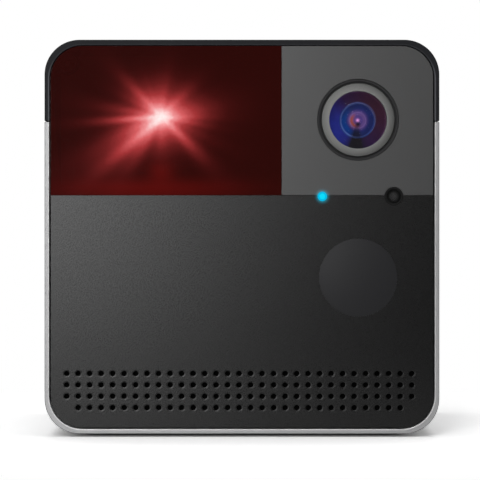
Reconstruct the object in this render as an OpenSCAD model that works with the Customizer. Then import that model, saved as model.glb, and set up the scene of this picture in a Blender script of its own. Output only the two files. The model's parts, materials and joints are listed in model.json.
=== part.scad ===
// Pet camera: a cube housing with a wide lens, a steered laser pointer, a speaker and a motion sensor.
// Millimetres. Z is up, the front looks towards -Y, and the origin is under the middle of the foot pad.

/* [Housing] */
// Width of the housing, left to right
body_w = 101.6; // [97:0.2:116]
// Depth of the housing, front to back
body_d = 101.6; // [92:0.2:120]
// Height of shell and cap together
body_h = 101.4; // [96:0.2:116]
// Corner radius of the housing, seen from the front
corner_r = 9; // [7:0.5:11]
// Wall thickness of shell and cap
wall = 1.25; // [1:0.05:1.6]
// Height of the top cap
cap_h = 21; // [14:0.5:26]
// Depth of the front and rear faces behind the rim
lip = 0.3; // [0.1:0.05:0.8]
// Thickness of the rear cover
rear_t = 2.6; // [2.4:0.1:4]
// Thickness of the foot pad
foot_t = 0.8; // [0.5:0.1:3]
// Margin between the foot pad and the sides of the housing
foot_margin = 7; // [6:0.5:16]

/* [Front panels] */
// Gap between the rim and the panels
rim_gap = 0.35; // [0.2:0.05:0.6]
// Gap between the rim and the panels along the top
top_gap = 0.15; // [0.1:0.05:0.6]
// How much rounder the rim is at its inner corners than the wall behind it
rim_round = 0.85; // [0:0.05:1.2]
// Gap between two panels
panel_gap = 0.2; // [0.1:0.05:0.4]
// Thickness of the panels
panel_t = 2; // [1.6:0.1:3]
// Thickness of the frame behind the panels
frame_t = 3.2; // [3:0.1:5]
// Height of the two upper panels, from the top of the housing
upper_h = 40; // [39:0.2:44]
// Width of the camera panel, from the right side of the housing
camera_w = 40.6; // [36:0.2:46]
// Width of the ledge that carries the laser window
ledge = 2.5; // [1.5:0.1:4]

/* [Sound holes] */
// Least margin between the outer columns and the panel's edge
holes_margin = 4.4; // [4:0.1:20]
// Number of rows
hole_rows = 4; // [2:1:4]
// Distance between columns
col_pitch = 2.96; // [2.2:0.02:3]
// Distance between rows
row_pitch = 2.93; // [2.2:0.02:3]
// Radius of one sound hole
hole_r = 0.75; // [0.4:0.05:0.9]
// Height of the grid's middle above the underside of the shell
holes_up = 11.1; // [10.6:0.1:16]
// Sideways place of the grid's middle
holes_x = -0.7; // [-1:0.1:1]

/* [Camera] */
// Distance from the right side to the lens axis
lens_in = 20.9; // [19.5:0.1:23]
// Distance from the top to the lens axis
lens_down = 20.6; // [19.5:0.1:23]
// Radius of the rubber seal around the bezel
seal_r = 10.55; // [10:0.05:12]
// Radius of the metal bezel
bezel_r = 9.5; // [9:0.05:9.9]
// Chamfer on the bezel's inner edge
bezel_chamfer = 0.6; // [0.2:0.1:1]
// Radius of the front glass
glass_r = 7.35; // [6.6:0.05:7.6]
// Length of the lens barrel
barrel_len = 17; // [16:0.5:22]
// Radius of the barrel's thread
thread_r = 6; // [5.6:0.1:6.4]
// Width of the square camera board
camera_board_w = 24; // [23:0.5:25]

/* [Indicator, microphone and motion sensor] */
// Sideways distance of light and microphone from the lens axis
pair_x = 9.2; // [7:0.1:10]
// Height of light and microphone below the panel seam
pair_down = 0.3; // [0:0.1:1]
// Radius of the light pipe
pipe_r = 1.2; // [0.8:0.1:1.8]
// Radius of the microphone boot
boot_r = 2.4; // [2:0.1:2.8]
// Radius of the motion sensor's window
motion_r = 10.1; // [9:0.1:11]
// Distance from the panel seam down to the middle of that window
motion_down = 21.2; // [20:0.2:23]
// Space between the frame and the board behind it
front_gap = 7; // [6.4:0.2:10]

/* [Speaker] */
// Width of the oval speaker
speaker_w = 44; // [36:1:52]
// Height of the oval speaker
speaker_h = 18; // [17:0.2:19]
// Thickness of its foam gasket
gasket_t = 1; // [0.6:0.1:1.6]
// Width of its rim, on which the gasket lies
speaker_rim = 2.8; // [2.4:0.1:3.2]
// Radius of the voice coil
coil_r = 3.8; // [3.4:0.1:4]
// Travel of the cone each way from rest
cone_travel = 0.5; // [0.2:0.1:0.6]

/* [Laser pointer] */
// Distance from the left side to the laser axis
laser_in = 30.3; // [28:0.1:34]
// Distance from the top to the laser axis
laser_down = 19.8; // [18:0.1:21]
// Distance from the frame back to the pivot of the laser
pivot_back = 14; // [13.5:0.1:20]
// Radius of the laser module
laser_r = 3; // [2.6:0.1:3.2]
// Length of the laser module
laser_len = 14; // [12:0.5:16]
// Radius of the tilt pivots
pivot_r = 0.75; // [0.6:0.05:0.9]
// Radius of the hollow pan shaft
pan_shaft_r = 2.5; // [2.2:0.1:3]
// Tooth size of the tilt gears
tilt_module = 0.4; // [0.36:0.01:0.44]
// Teeth of the tilt gear
tilt_teeth = 24; // [22:2:26]
// Tooth size of the pan gears
pan_module = 0.5; // [0.46:0.01:0.54]
// Teeth of the pan gear
pan_teeth = 40; // [36:2:44]
// Teeth of both pinions
pinion_teeth = 10; // [9:1:11]
// Radius of the tilt motor
tilt_motor_r = 3; // [2.5:0.1:3.1]
// Length of the tilt motor
tilt_motor_len = 8; // [6:0.5:8.5]
// Radius of the pan motor
pan_motor_r = 3.5; // [3:0.1:4]
// Length of the pan motor
pan_motor_len = 9; // [6:0.5:9.5]

/* [Electronics] */
// Width of the main board
board_w = 70; // [66:1:74]
// Height of the main board
board_h = 60; // [56:1:64]
// Distance from the top of the housing to the main board
board_down = 23.4; // [22:0.2:26]
// Space between the main board and the rear cover
board_gap = 12; // [11:0.5:16]
// Thickness of every circuit board
pcb_t = 1.2; // [1:0.1:1.6]
// Sideways place of the reset button
reset_x = 18; // [14:0.5:22]
// Radius of the reset button
reset_r = 1.5; // [1.2:0.1:2]
// Travel of the reset button
reset_travel = 0.5; // [0.2:0.1:0.6]
// Radius of the socket's bore
socket_r = 3.05; // [2.8:0.05:3.3]
// Radius of the recess around the socket
recess_r = 5.6; // [5:0.1:6]
// Depth of that recess
recess_d = 5; // [4.5:0.1:6]

/* [Tripod thread] */
// Radius of the threaded bore
tripod_r = 2.55; // [2:0.05:3]
// Depth of the threaded bore
tripod_depth = 8; // [7.5:0.5:12]
// Outer radius of the insert
insert_r = 5; // [4.5:0.1:6.5]
// Thickness of the steel base plate
plate_t = 4; // [3:0.5:6]

/* [Hidden] */
$fn = 48;
// Sliding clearance around a turning or sliding shaft
run_fit = 0.05;
// Clearance around a piece that is pressed or glued in place
seat_fit = 0.03;
// Clearance around a piece that is set in by hand
loose_fit = 0.15;
// Gap at the ends of a moving piece
end_gap = 0.3;
// Overlap that joins two shapes of one solid
join = 0.4;
// How far a cut reaches past the face it starts from
over = 1;

// Heights
shell_z = foot_t;
top_z = shell_z + body_h;
floor_z = shell_z + wall;
cap_z = top_z - cap_h;
seam_z = top_z - upper_h;

// Depths, from the front to the back
front_y = -body_d / 2;
panel_y = front_y + lip;
frame_y = panel_y + panel_t;
inner_y = frame_y + frame_t;
rim_back_y = frame_y - loose_fit;
rear_y = body_d / 2 - lip;
cover_y = rear_y - rear_t;
board_y = cover_y - board_gap;
board_front_y = board_y - pcb_t;

// Sideways places and heights on the front
side_x = body_w / 2;
seam_x = side_x - camera_w;
lens_x = side_x - lens_in;
lens_z = top_z - lens_down;
light_x = lens_x - pair_x;
mic_x = lens_x + pair_x;
pair_z = seam_z - pair_down;
motion_x = lens_x;
motion_z = seam_z - motion_down;
holes_z = shell_z + holes_up;
lens_at = [lens_x, lens_z];
light_at = [light_x, pair_z];
mic_at = [mic_x, pair_z];
motion_at = [motion_x, motion_z];

// Tie rods in the four corners and their countersunk screws
rod_inset = 4.5;
rod_r = 2.5;
rod_x = side_x - wall - rod_inset;
rod_low_z = floor_z + rod_inset;
rod_high_z = top_z - wall - rod_inset;
rod_places = [[-rod_x, rod_low_z], [rod_x, rod_low_z], [-rod_x, rod_high_z], [rod_x, rod_high_z]];
case_screw_r = 1.25;
case_head_r = 2.35;
case_head_h = case_head_r - case_screw_r;
case_screw_len = 9;
rod_bore = case_screw_len + 1;
boss_wall = 0.9;
boss_r = case_head_r + boss_wall;
case_hex = 0.6;

// Small pan-head screws that hold the boards, the speaker and the laser bracket
screw_r = 1;
screw_len = 4;
screw_head_r = 1.9;
screw_head_h = 1.3;
screw_spare = 0.3;
screw_hex = 0.8;
post_r = 2;

// Rails and tongues that stop frame and cover
rail = 1.6;
rail_up = 35;
rail_z = shell_z + rail_up;
tongue_t = 1.2;
tongue_h = 3;
cap_gap = 0.2;
eyelet_len = 6;
eyelet_half = 4;

// Camera, with depths counted from the front of the frame
head_len = 7;
head_wall = 0.75;
head_r = glass_r + head_wall;
glass_edge = 3;
glass_set = 0.2;
glass_rise = 1.5;
glass_ball_r = (glass_r * glass_r + glass_rise * glass_rise) / (2 * glass_rise);
hollow_r = 4.4;
hollow_deep = 1.9;
hollow_ball_r = (hollow_r * hollow_r + hollow_deep * hollow_deep) / (2 * hollow_deep);
middle_r = 4.6;
middle_t = 2.4;
middle_rise = 0.8;
middle_ball_r = (middle_r * middle_r + middle_rise * middle_rise) / (2 * middle_rise);
stop_r = 2.6;
stop_front = 8;
stop_back = 12;
rear_glass_r = 3.4;
rear_glass_t = 2.4;
rear_rise = 0.7;
rear_ball_r = (rear_glass_r * rear_glass_r + rear_rise * rear_rise) / (2 * rear_rise);
filter_w = 8;
filter_t = 0.8;
holder_ledge = 0.8;
chip_w = 8;
chip_t = 1;
chip_space = 1.2;
filter_y = frame_y + barrel_len + seat_fit + holder_ledge;
camera_board_y = filter_y + filter_t + chip_space + chip_t;
camera_back_y = camera_board_y + pcb_t;
camera_edge = 2.2;
camera_screw = camera_board_w / 2 - camera_edge;
camera_places = [
    for (sx = [-1, 1])
        for (sz = [-1, 1])
            [lens_x + sx * camera_screw, lens_z + sz * camera_screw]
];
holder_w = 15;
holder_room = 11;
holder_tube_len = 8;
holder_flat = 0.1;
filter_seat = 0.6;

// Board behind the frame, with light, microphone and motion sensor
front_board_y = inner_y + front_gap;
front_board_half = 13;
front_board_under = 9;
front_board_over = 4;
front_board_low_z = motion_z - front_board_under;
front_board_high_z = pair_z + front_board_over;
front_post_x = 10.5;
upper_post_down = 8.4;
lower_post_down = 6;
front_places = [
    for (sx = [-1, 1])
        for (pz = [pair_z - upper_post_down, motion_z - lower_post_down])
            [lens_x + sx * front_post_x, pz]
];
led_w = 2;
led_t = 1;
pipe_collar = 1;
pipe_collar_r = pipe_r + pipe_collar;
pipe_collar_t = 1;
mic_r = 2;
mic_len = 2.5;
boot_wall = 1.2;
boot_port_r = 1.1;
mic_mesh_t = 0.3;
mic_mesh_deep = 0.4;
boot_lip = 0.65;
mic_mesh_r = boot_r - boot_lip;
motion_seat = 1.5;
motion_can_r = 4.6;
motion_can_h = 4.2;
motion_rim = 0.4;
motion_base_r = motion_can_r + motion_rim;
motion_base_t = 0.6;

// Sound holes: as many columns as the panel has room for, their cloth and the pocket for it
hole_cols = floor((body_w - 2 * (wall + rim_gap + holes_margin)) / col_pitch) + 1;
grid_half_x = (hole_cols - 1) / 2 * col_pitch;
grid_half_z = (hole_rows - 1) / 2 * row_pitch;
cloth_margin = 1.2;
cloth_t = 0.5;
cloth_x = grid_half_x + hole_r + cloth_margin;
cloth_z = grid_half_z + hole_r + cloth_margin;

// Speaker, with depths counted from the back of the frame
speaker_z = holes_z;
speaker_at = [0, speaker_z];
speaker_y = inner_y + gasket_t;
speaker_flange_t = 1.2;
basket_deep = 6;
basket_wall = 0.8;
mouth_w = speaker_w - 2 * speaker_rim;
mouth_h = speaker_h - 2 * speaker_rim;
surround_rim = 1.7;
surround_t = 0.5;
cone_w = mouth_w - 2 * surround_rim;
cone_h = mouth_h - 2 * surround_rim;
cone_t = 0.6;
cone_gap = 0.3;
cone_set = 0.2;
cone_y = speaker_y + cone_set;
coil_wall = 0.4;
coil_len = 5;
basket_back_y = speaker_y + basket_deep;
coil_gap = 0.35;
magnet_wall = 3;
magnet_len = 5;
magnet_r = coil_r + coil_gap + magnet_wall;
pole_r = coil_r - coil_wall - coil_gap;
ear_r = 2.6;
ear_x = speaker_w / 2 + ear_r;

// Laser pointer: heights and depths counted from the pivot
laser_x = -side_x + laser_in;
pivot_y = inner_y + pivot_back;
laser_z = top_z - laser_down;
cradle_wall = 1.2;
cradle_r = laser_r + cradle_wall;
cradle_half = 2.6;
laser_lens_r = 1.75;
laser_lens_t = 1;
laser_lens_deep = 0.8;
laser_lens_rise = 0.5;
laser_ball_r =
    (laser_lens_r * laser_lens_r + laser_lens_rise * laser_lens_rise) / (2 * laser_lens_rise);
laser_bore = laser_lens_deep + laser_lens_t;
gear_gap = 0.2;
tilt_gear_x = cradle_r + gear_gap;
tilt_gear_t = 1.4;
arm_gap = 0.4;
arm_x = tilt_gear_x + tilt_gear_t + arm_gap;
arm_t = 1.6;
arm_half = 3.5;
arm_out_x = arm_x + arm_t;
pivot_over = 0.2;
pivot_end_x = arm_out_x + pivot_over;
tilt_pitch_r = tilt_module * tilt_teeth / 2;
tilt_pinion_r = tilt_module * pinion_teeth / 2;
tilt_drop = tilt_pitch_r + tilt_pinion_r;
tilt_shaft_r = 0.6;
shaft_hole_r = 1.2;
motor_bore = 3;
motor_gap = 0.4;
yoke_top = -(tilt_drop + tilt_motor_r + motor_gap);
yoke_t = 1.8;
yoke_edge = 0.9;
yoke_r = arm_out_x + yoke_edge;
yoke_base = yoke_top - yoke_t;
pan_pitch_r = pan_module * pan_teeth / 2;
pan_pinion_r = pan_module * pinion_teeth / 2;
pan_drive_y = pan_pitch_r + pan_pinion_r;
pan_gear_t = 2;
pan_gear_base = yoke_base - pan_gear_t;
bush_wall = 1;
bush_flange_t = 0.7;
bush_r = pan_shaft_r + run_fit + bush_wall;
bush_flange = 1;
bush_flange_r = bush_r + bush_flange;
shelf_top = pan_gear_base - end_gap - bush_flange_t;
shelf_t = 2;
shelf_base = shelf_top - shelf_t;
clip_t = 0.8;
clip_wall = 1.5;
pan_shaft_over = 1;
pan_shaft_end = shelf_base - end_gap - clip_t - pan_shaft_over;
pan_shaft_wall = 0.9;
pan_bore_r = pan_shaft_r - pan_shaft_wall;
pan_drive_shaft_r = 0.75;
shelf_half = 9;
shelf_edge = 1.5;
shelf_back = pan_drive_y + pan_motor_r + shelf_edge;
flange_t = 2;
flange_h = 12;
gusset_t = 1.5;
gusset_h = 9;
bracket_screw_x = 5;
bracket_screw_z = laser_z + shelf_base - flange_h / 2;
bracket_places = [for (sx = [-1, 1]) [laser_x + sx * bracket_screw_x, bracket_screw_z]];

// Tooth shape shared by all gears
pressure = 25;
addendum = 0.8;
dedendum = 1.05;
backlash = 0.08;
flank_steps = 5;

// Main board
board_top_z = top_z - board_down;
board_low_z = board_top_z - board_h;
board_edge = 4;
board_post_r = 3;
board_places = [
    for (sx = [-1, 1])
        for (pz = [board_low_z + board_edge, board_top_z - 2 * board_edge])
            [sx * (board_w / 2 - board_edge), pz]
];
processor_w = 14;
processor_t = 1.6;
processor_z = board_low_z + board_h / 2;
memory_w = 9;
memory_t = 1.1;
memory_gap = 2;
coil_can_r = 4;
coil_can_h = 6;
coil_can_edge = 3;
wifi_x = -6;
wifi_w = 14;
wifi_h = 18;
wifi_t = 2.4;
wifi_edge = 3;
wifi_z = board_top_z - wifi_h / 2 - wifi_edge;
aerial_w = 36;
aerial_d = 8;
aerial_t = 0.8;

// Connectors and leads
plug_t = 2;
plug_w = 9;
plug_h = 5;
ribbon_w = 7;
ribbon_t = 0.3;
ribbon_wave = 3;
ribbon_steps = 24;
ribbon_in = 8;
ribbon_x = board_w / 2 - ribbon_in;
ribbon_z = board_top_z - plug_h / 2;
sensor_lead_in = 10;
sensor_lead_x = board_w / 2 - sensor_lead_in;
sensor_lead_z = board_low_z + board_h / 2;
lead_r = 0.9;
lead_bend = 4;
speaker_lead_x = 16;
speaker_plug_up = 10;
speaker_plug_z = board_low_z + speaker_plug_up;
lead_room = 1;
laser_lead_z = laser_z + shelf_base - pan_motor_len - lead_r - lead_room;
aerial_lead_r = 0.6;
aerial_plug = 2.4;
aerial_lead_y = board_front_y - wifi_t - aerial_plug / 2;

// Power socket and reset switch on the main board
socket_x = 0;
socket_up = 12;
socket_z = board_low_z + socket_up;
socket_w = 11;
socket_y = rear_y - recess_d;
socket_deep = 6;
socket_pin_r = 1;
socket_pin_set = 1;
recess_wall = 1.2;
reset_z = socket_z;
reset_set = 0.3;
reset_collar = 0.9;
reset_collar_r = reset_r + reset_collar;
reset_collar_t = 0.8;
switch_w = 6;
stem_r = 1.2;
stem_in = 0.9;
switch_y = cover_y - reset_collar_t - end_gap - reset_travel;

// Tripod insert
insert_flange = 4;
insert_flange_r = insert_r + insert_flange;
insert_flange_t = 1.5;
insert_end = 1.5;
insert_top_z = shell_z + tripod_depth + insert_end;
plate_z = floor_z + plate_t;
plate_half_x = 35;
plate_half_y = 26;
foot_hole_gap = 3;
foot_hole_r = insert_r + foot_hole_gap;

// Finishes for the construction views
silver = [0.72, 0.73, 0.74];
black = [0.13, 0.13, 0.14];
grey = [0.33, 0.33, 0.34];
red = [0.35, 0.05, 0.06];
steel = [0.6, 0.61, 0.63];
brass = [0.78, 0.62, 0.3];
board_green = [0.08, 0.3, 0.18];
white = [0.9, 0.9, 0.86];
rubber = [0.08, 0.08, 0.08];
clear = [0.55, 0.7, 0.8];

// A flat shape, drawn with X to the right and Z up, as a plate between two depths
module plate(y0, y1) {
    translate([0, y1, 0])
        rotate([90, 0, 0])
            linear_extrude(height = y1 - y0)
                children();
}

// A round bar along Y at one place of the front
module bar_y(at, y0, y1, r) {
    translate([at[0], y0, at[1]])
        rotate([-90, 0, 0])
            cylinder(r = r, h = y1 - y0);
}

// A tapered bar along Y
module cone_y(at, y0, y1, r0, r1) {
    translate([at[0], y0, at[1]])
        rotate([-90, 0, 0])
            cylinder(r1 = r0, r2 = r1, h = y1 - y0);
}

// A block between two depths, centred on one place of the front
module block_y(at, y0, y1, w, h) {
    translate([at[0] - w / 2, y0, at[1] - h / 2])
        cube([w, y1 - y0, h]);
}

module area(x0, z0, x1, z1) {
    translate([x0, z0])
        square([x1 - x0, z1 - z0]);
}

module disc(at, r) {
    translate(at)
        circle(r = r);
}

module rounded(x0, z0, x1, z1, r) {
    area(x0 + r, z0, x1 - r, z1);
    area(x0, z0 + r, x1, z1 - r);
    for (cx = [x0 + r, x1 - r])
        for (cz = [z0 + r, z1 - r])
            disc([cx, cz], r);
}

// Outline of the housing from the front, drawn in by a margin
module outline(margin, rounder = 0) {
    rounded(-side_x + margin, shell_z + margin, side_x - margin, top_z - margin, corner_r - margin + rounder);
}

// Outline of the front panels together
module panels_outline() {
    outline(wall + rim_gap, rim_round);
}

// Oval with round ends, centred on one place
module oval(at, w, h) {
    translate([at[0] - (w - h) / 2, at[1] - h / 2])
        square([w - h, h]);
    for (s = [-1, 1])
        disc([at[0] + s * (w - h) / 2, at[1]], h / 2);
}

// Part of a ball that bulges by a rise above a flat disc, along -Y from one depth
module dome_y(at, y, r, rise, ball_r) {
    intersection() {
        translate([at[0], y - rise + ball_r, at[1]])
            sphere(r = ball_r);
        bar_y(at, y - rise - join, y + join, r);
    }
}

// Housing

module wall_ring() {
    difference() {
        outline(0);
        outline(wall);
    }
}

// The rim round the panels, which is thicker in its corners and along the top
module rim_ring() {
    difference() {
        outline(0);
        rounded(
            -side_x + wall, shell_z + wall, side_x - wall, top_z - wall - rim_gap + top_gap,
            corner_r - wall + rim_round
        );
    }
}

// Shell or cap between two heights
module housing(z0, z1) {
    plate(-body_d / 2, body_d / 2)
        intersection() {
            wall_ring();
            area(-side_x - over, z0, side_x + over, z1);
        }
    plate(-body_d / 2, rim_back_y)
        intersection() {
            rim_ring();
            area(-side_x - over, z0, side_x + over, z1);
        }
}

module body_shell() {
    color(silver)
        difference() {
            union() {
                housing(shell_z - over, cap_z - cap_gap / 2);
                for (s = [-1, 1])
                    plate(inner_y, cover_y)
                        area(
                            s * (side_x - wall / 2) - (rail + wall / 2) * (1 + s) / 2, rail_z - rail / 2,
                            s * (side_x - wall / 2) + (rail + wall / 2) * (1 - s) / 2, rail_z + rail / 2
                        );
            }
            translate([0, 0, shell_z - over])
                cylinder(r = insert_r + seat_fit, h = wall + 2 * over);
        }
}

module cap_corner(s) {
    difference() {
        intersection() {
            outline(wall / 2);
            area(
                s * rod_x - eyelet_half * (1 + s) / 2 - side_x * (1 - s) / 2, rod_high_z - eyelet_half,
                s * rod_x + eyelet_half * (1 - s) / 2 + side_x * (1 + s) / 2, top_z
            );
        }
        disc([s * rod_x, rod_high_z], rod_r / cos(30) + loose_fit);
    }
}

module top_cap() {
    color(black) {
        housing(cap_z + cap_gap / 2, top_z + over);
        for (s = [-1, 1]) {
            plate(inner_y, cover_y) {
                area(
                    s * (side_x - wall / 2) - (tongue_t + wall / 2) * (1 + s) / 2, cap_z + cap_gap,
                    s * (side_x - wall / 2) + (tongue_t + wall / 2) * (1 - s) / 2, cap_z + tongue_h
                );
                area(
                    s * (side_x - wall - loose_fit) - tongue_t * (1 + s) / 2 + loose_fit * (1 + s) / 2,
                    cap_z - tongue_h,
                    s * (side_x - wall - loose_fit) + tongue_t * (1 - s) / 2 - loose_fit * (1 - s) / 2,
                    cap_z + tongue_h
                );
            }
            plate(-eyelet_len / 2, eyelet_len / 2)
                cap_corner(s);
        }
    }
}

// Hole for a countersunk case screw, from the face at y0 along a direction s
module case_hole(at, y0, s) {
    far_y = y0 + s * (case_screw_len + join);
    bar_y(at, min(y0 - s * join, far_y), max(y0 - s * join, far_y), case_screw_r + loose_fit);
    cone_y(
        at, min(y0, y0 + s * case_head_h), max(y0, y0 + s * case_head_h),
        (s > 0 ? case_head_r : case_screw_r) + loose_fit, (s > 0 ? case_screw_r : case_head_r) + loose_fit
    );
}

module window_opening() {
    difference() {
        intersection() {
            outline(wall + rim_gap + ledge);
            area(-side_x, seam_z + panel_gap / 2 + ledge, seam_x - panel_gap / 2 - ledge, top_z);
        }
        disc([-rod_x, rod_high_z], boss_r);
    }
}

module front_frame() {
    color(black)
        difference() {
            union() {
                plate(frame_y, inner_y)
                    difference() {
                        outline(wall + loose_fit);
                        window_opening();
                        disc([lens_x, lens_z], head_r + loose_fit);
                        disc([light_x, pair_z], pipe_r + seat_fit);
                        disc([mic_x, pair_z], boot_r + seat_fit);
                        disc([motion_x, motion_z], motion_r - motion_seat);
                        oval([0, speaker_z], mouth_w, mouth_h);
                    }
                for (at = camera_places)
                    bar_y(at, inner_y - join, camera_board_y, post_r);
                for (at = front_places)
                    bar_y(at, inner_y - join, front_board_y, post_r);
                for (s = [-1, 1])
                    bar_y([s * ear_x, speaker_z], inner_y - join, speaker_y, ear_r);
            }
            plate(frame_y - join, frame_y + cloth_t)
                cloth_outline(loose_fit);
            for (at = rod_places)
                case_hole(at, frame_y, 1);
            for (at = camera_places)
                screw_hole(at, camera_back_y, -1);
            for (at = front_places)
                screw_hole(at, front_board_y + pcb_t, -1);
            for (at = bracket_places)
                screw_hole(at, inner_y + flange_t, -1);
            for (s = [-1, 1])
                screw_hole([s * ear_x, speaker_z], speaker_y + speaker_flange_t, -1);
        }
}

module rear_cover() {
    color(black)
        difference() {
            union() {
                plate(cover_y, rear_y)
                    outline(wall + loose_fit);
                for (at = board_places)
                    bar_y(at, board_y, cover_y + join, board_post_r);
                bar_y([socket_x, socket_z], socket_y, cover_y + join, recess_r + recess_wall);
            }
            bar_y([socket_x, socket_z], socket_y - join, rear_y + join, recess_r);
            bar_y([reset_x, reset_z], cover_y - join, rear_y + join, reset_r + run_fit);
            for (at = rod_places)
                case_hole(at, rear_y, -1);
            for (at = board_places)
                screw_hole(at, board_front_y, 1);
        }
}

module foot_pad() {
    color(rubber)
        difference() {
            linear_extrude(height = foot_t)
                rounded(
                    -side_x + foot_margin, -body_d / 2 + foot_margin,
                    side_x - foot_margin, body_d / 2 - foot_margin, corner_r - wall
                );
            translate([0, 0, -over])
                cylinder(r = foot_hole_r, h = foot_t + 2 * over);
        }
}

module base_plate() {
    color(steel)
        translate([0, 0, floor_z])
            difference() {
                translate([-plate_half_x, -plate_half_y, 0])
                    cube([2 * plate_half_x, 2 * plate_half_y, plate_t]);
                translate([0, 0, -over])
                    cylinder(r = insert_r + seat_fit, h = plate_t + 2 * over);
            }
}

module tripod_insert() {
    color(brass)
        difference() {
            union() {
                translate([0, 0, shell_z])
                    cylinder(r = insert_r, h = insert_top_z - shell_z);
                translate([0, 0, plate_z])
                    cylinder(r = insert_flange_r, h = insert_flange_t);
            }
            translate([0, 0, shell_z - over])
                cylinder(r = tripod_r, h = tripod_depth + over);
        }
}

module tie_rods() {
    color(steel)
        for (at = rod_places)
            difference() {
                translate([at[0], inner_y, at[1]])
                    rotate([-90, 0, 0])
                        cylinder(r = rod_r / cos(30), h = cover_y - inner_y, $fn = 6);
                bar_y(at, inner_y - join, inner_y + rod_bore - frame_t, case_screw_r + seat_fit);
                bar_y(at, cover_y - rod_bore + rear_t, cover_y + join, case_screw_r + seat_fit);
            }
}

// Countersunk screw with its head's face at y0, pointing along a direction s
module case_screw(at, y0, s) {
    end_y = y0 + s * case_screw_len;
    difference() {
        union() {
            bar_y(at, min(y0, end_y), max(y0, end_y), case_screw_r);
            cone_y(
                at, min(y0, y0 + s * case_head_h), max(y0, y0 + s * case_head_h),
                s > 0 ? case_head_r : case_screw_r, s > 0 ? case_screw_r : case_head_r
            );
        }
        translate([at[0], y0, at[1]])
            rotate([-90, 0, 0])
                cylinder(r = case_screw_r * case_hex, h = case_screw_r, center = true, $fn = 6);
    }
}

module case_screws() {
    color(steel)
        for (at = rod_places) {
            case_screw(at, frame_y, 1);
            case_screw(at, rear_y, -1);
        }
}

// Pan-head screw with its head seated at y0, pointing along a direction s
module small_screw(at, y0, s) {
    end_y = y0 + s * screw_len;
    head_y = y0 - s * screw_head_h;
    difference() {
        union() {
            bar_y(at, min(y0, end_y), max(y0, end_y), screw_r);
            bar_y(at, min(y0, head_y), max(y0, head_y), screw_head_r);
        }
        translate([at[0], head_y, at[1]])
            rotate([-90, 0, 0])
                cylinder(r = screw_r * screw_hex, h = screw_r, center = true, $fn = 6);
    }
}

// Blind hole for a pan-head screw that is seated at y0
module screw_hole(at, y0, s) {
    end_y = y0 + s * (screw_len + screw_spare);
    bar_y(at, min(y0, end_y), max(y0, end_y), screw_r + seat_fit);
}

module small_screws() {
    color(steel) {
        for (at = camera_places)
            small_screw(at, camera_back_y, -1);
        for (at = front_places)
            small_screw(at, front_board_y + pcb_t, -1);
        for (at = bracket_places)
            small_screw(at, inner_y + flange_t, -1);
        for (s = [-1, 1])
            small_screw([s * ear_x, speaker_z], speaker_y + speaker_flange_t, -1);
        for (at = board_places)
            small_screw(at, board_front_y, 1);
    }
}

// Front panels

module laser_window() {
    color(red)
        plate(panel_y, frame_y)
            intersection() {
                panels_outline();
                area(-side_x, seam_z + panel_gap / 2, seam_x - panel_gap / 2, top_z);
            }
}

module pair_holes() {
    disc([light_x, pair_z], pipe_r + seat_fit);
    disc([mic_x, pair_z], boot_r + seat_fit);
}

module camera_panel() {
    color(grey)
        plate(panel_y, frame_y)
            difference() {
                intersection() {
                    panels_outline();
                    area(seam_x + panel_gap / 2, seam_z + panel_gap / 2, side_x, top_z);
                }
                disc([lens_x, lens_z], seal_r);
                pair_holes();
            }
}

// The lowest row leaves out its first and last hole, in front of the tie rods
module sound_holes() {
    for (row = [0:hole_rows - 1])
        for (col = [0:hole_cols - 1])
            if (row > 0 || (col > 0 && col < hole_cols - 1))
                translate([col * col_pitch - grid_half_x, row * row_pitch - grid_half_z])
                    disc([holes_x, holes_z], hole_r);
}

module speaker_panel() {
    color(black)
        plate(panel_y, frame_y)
            difference() {
                intersection() {
                    panels_outline();
                    area(-side_x, shell_z, side_x, seam_z - panel_gap / 2);
                }
                pair_holes();
                disc([motion_x, motion_z], motion_r);
                sound_holes();
            }
}

module cloth_outline(margin) {
    difference() {
        area(
            holes_x - cloth_x - margin, holes_z - cloth_z - margin,
            holes_x + cloth_x + margin, holes_z + cloth_z + margin
        );
        for (s = [-1, 1])
            disc([s * rod_x, rod_low_z], boss_r + loose_fit - margin);
    }
}

module grille_cloth() {
    color(rubber)
        plate(frame_y, frame_y + cloth_t)
            cloth_outline(0);
}

module motion_window() {
    color(black)
        bar_y([motion_x, motion_z], panel_y, frame_y, motion_r - run_fit);
}

// Camera

module lens_seal() {
    color(rubber)
        difference() {
            bar_y(lens_at, panel_y + lip, frame_y, seal_r - seat_fit);
            bar_y(lens_at, panel_y, frame_y + join, bezel_r + seat_fit);
        }
}

module lens_bezel() {
    bore_r = glass_r + loose_fit;
    color(silver)
        difference() {
            bar_y(lens_at, panel_y, frame_y, bezel_r);
            cone_y(
                lens_at, panel_y - join, panel_y + bezel_chamfer,
                bore_r + bezel_chamfer + join, bore_r
            );
            bar_y(lens_at, panel_y, frame_y + join, bore_r);
        }
}

module lens_barrel() {
    color(black)
        difference() {
            union() {
                bar_y(lens_at, frame_y, frame_y + head_len, head_r);
                bar_y(lens_at, frame_y, frame_y + barrel_len, thread_r);
            }
            bar_y(lens_at, frame_y - join, frame_y + glass_set + glass_edge, glass_r + seat_fit);
            bar_y(lens_at, frame_y, frame_y + stop_front, middle_r + seat_fit);
            bar_y(lens_at, frame_y, frame_y + barrel_len + join, stop_r);
            bar_y(lens_at, frame_y + stop_back, frame_y + barrel_len + join, rear_glass_r + seat_fit);
        }
}

module lens_front_glass() {
    edge_y = frame_y + glass_set;
    back_y = edge_y + glass_edge;
    color(clear)
        difference() {
            union() {
                bar_y(lens_at, edge_y, back_y, glass_r);
                dome_y(lens_at, edge_y, glass_r, glass_rise, glass_ball_r);
            }
            translate([lens_x, back_y - hollow_deep + hollow_ball_r, lens_z])
                sphere(r = hollow_ball_r);
        }
}

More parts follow.
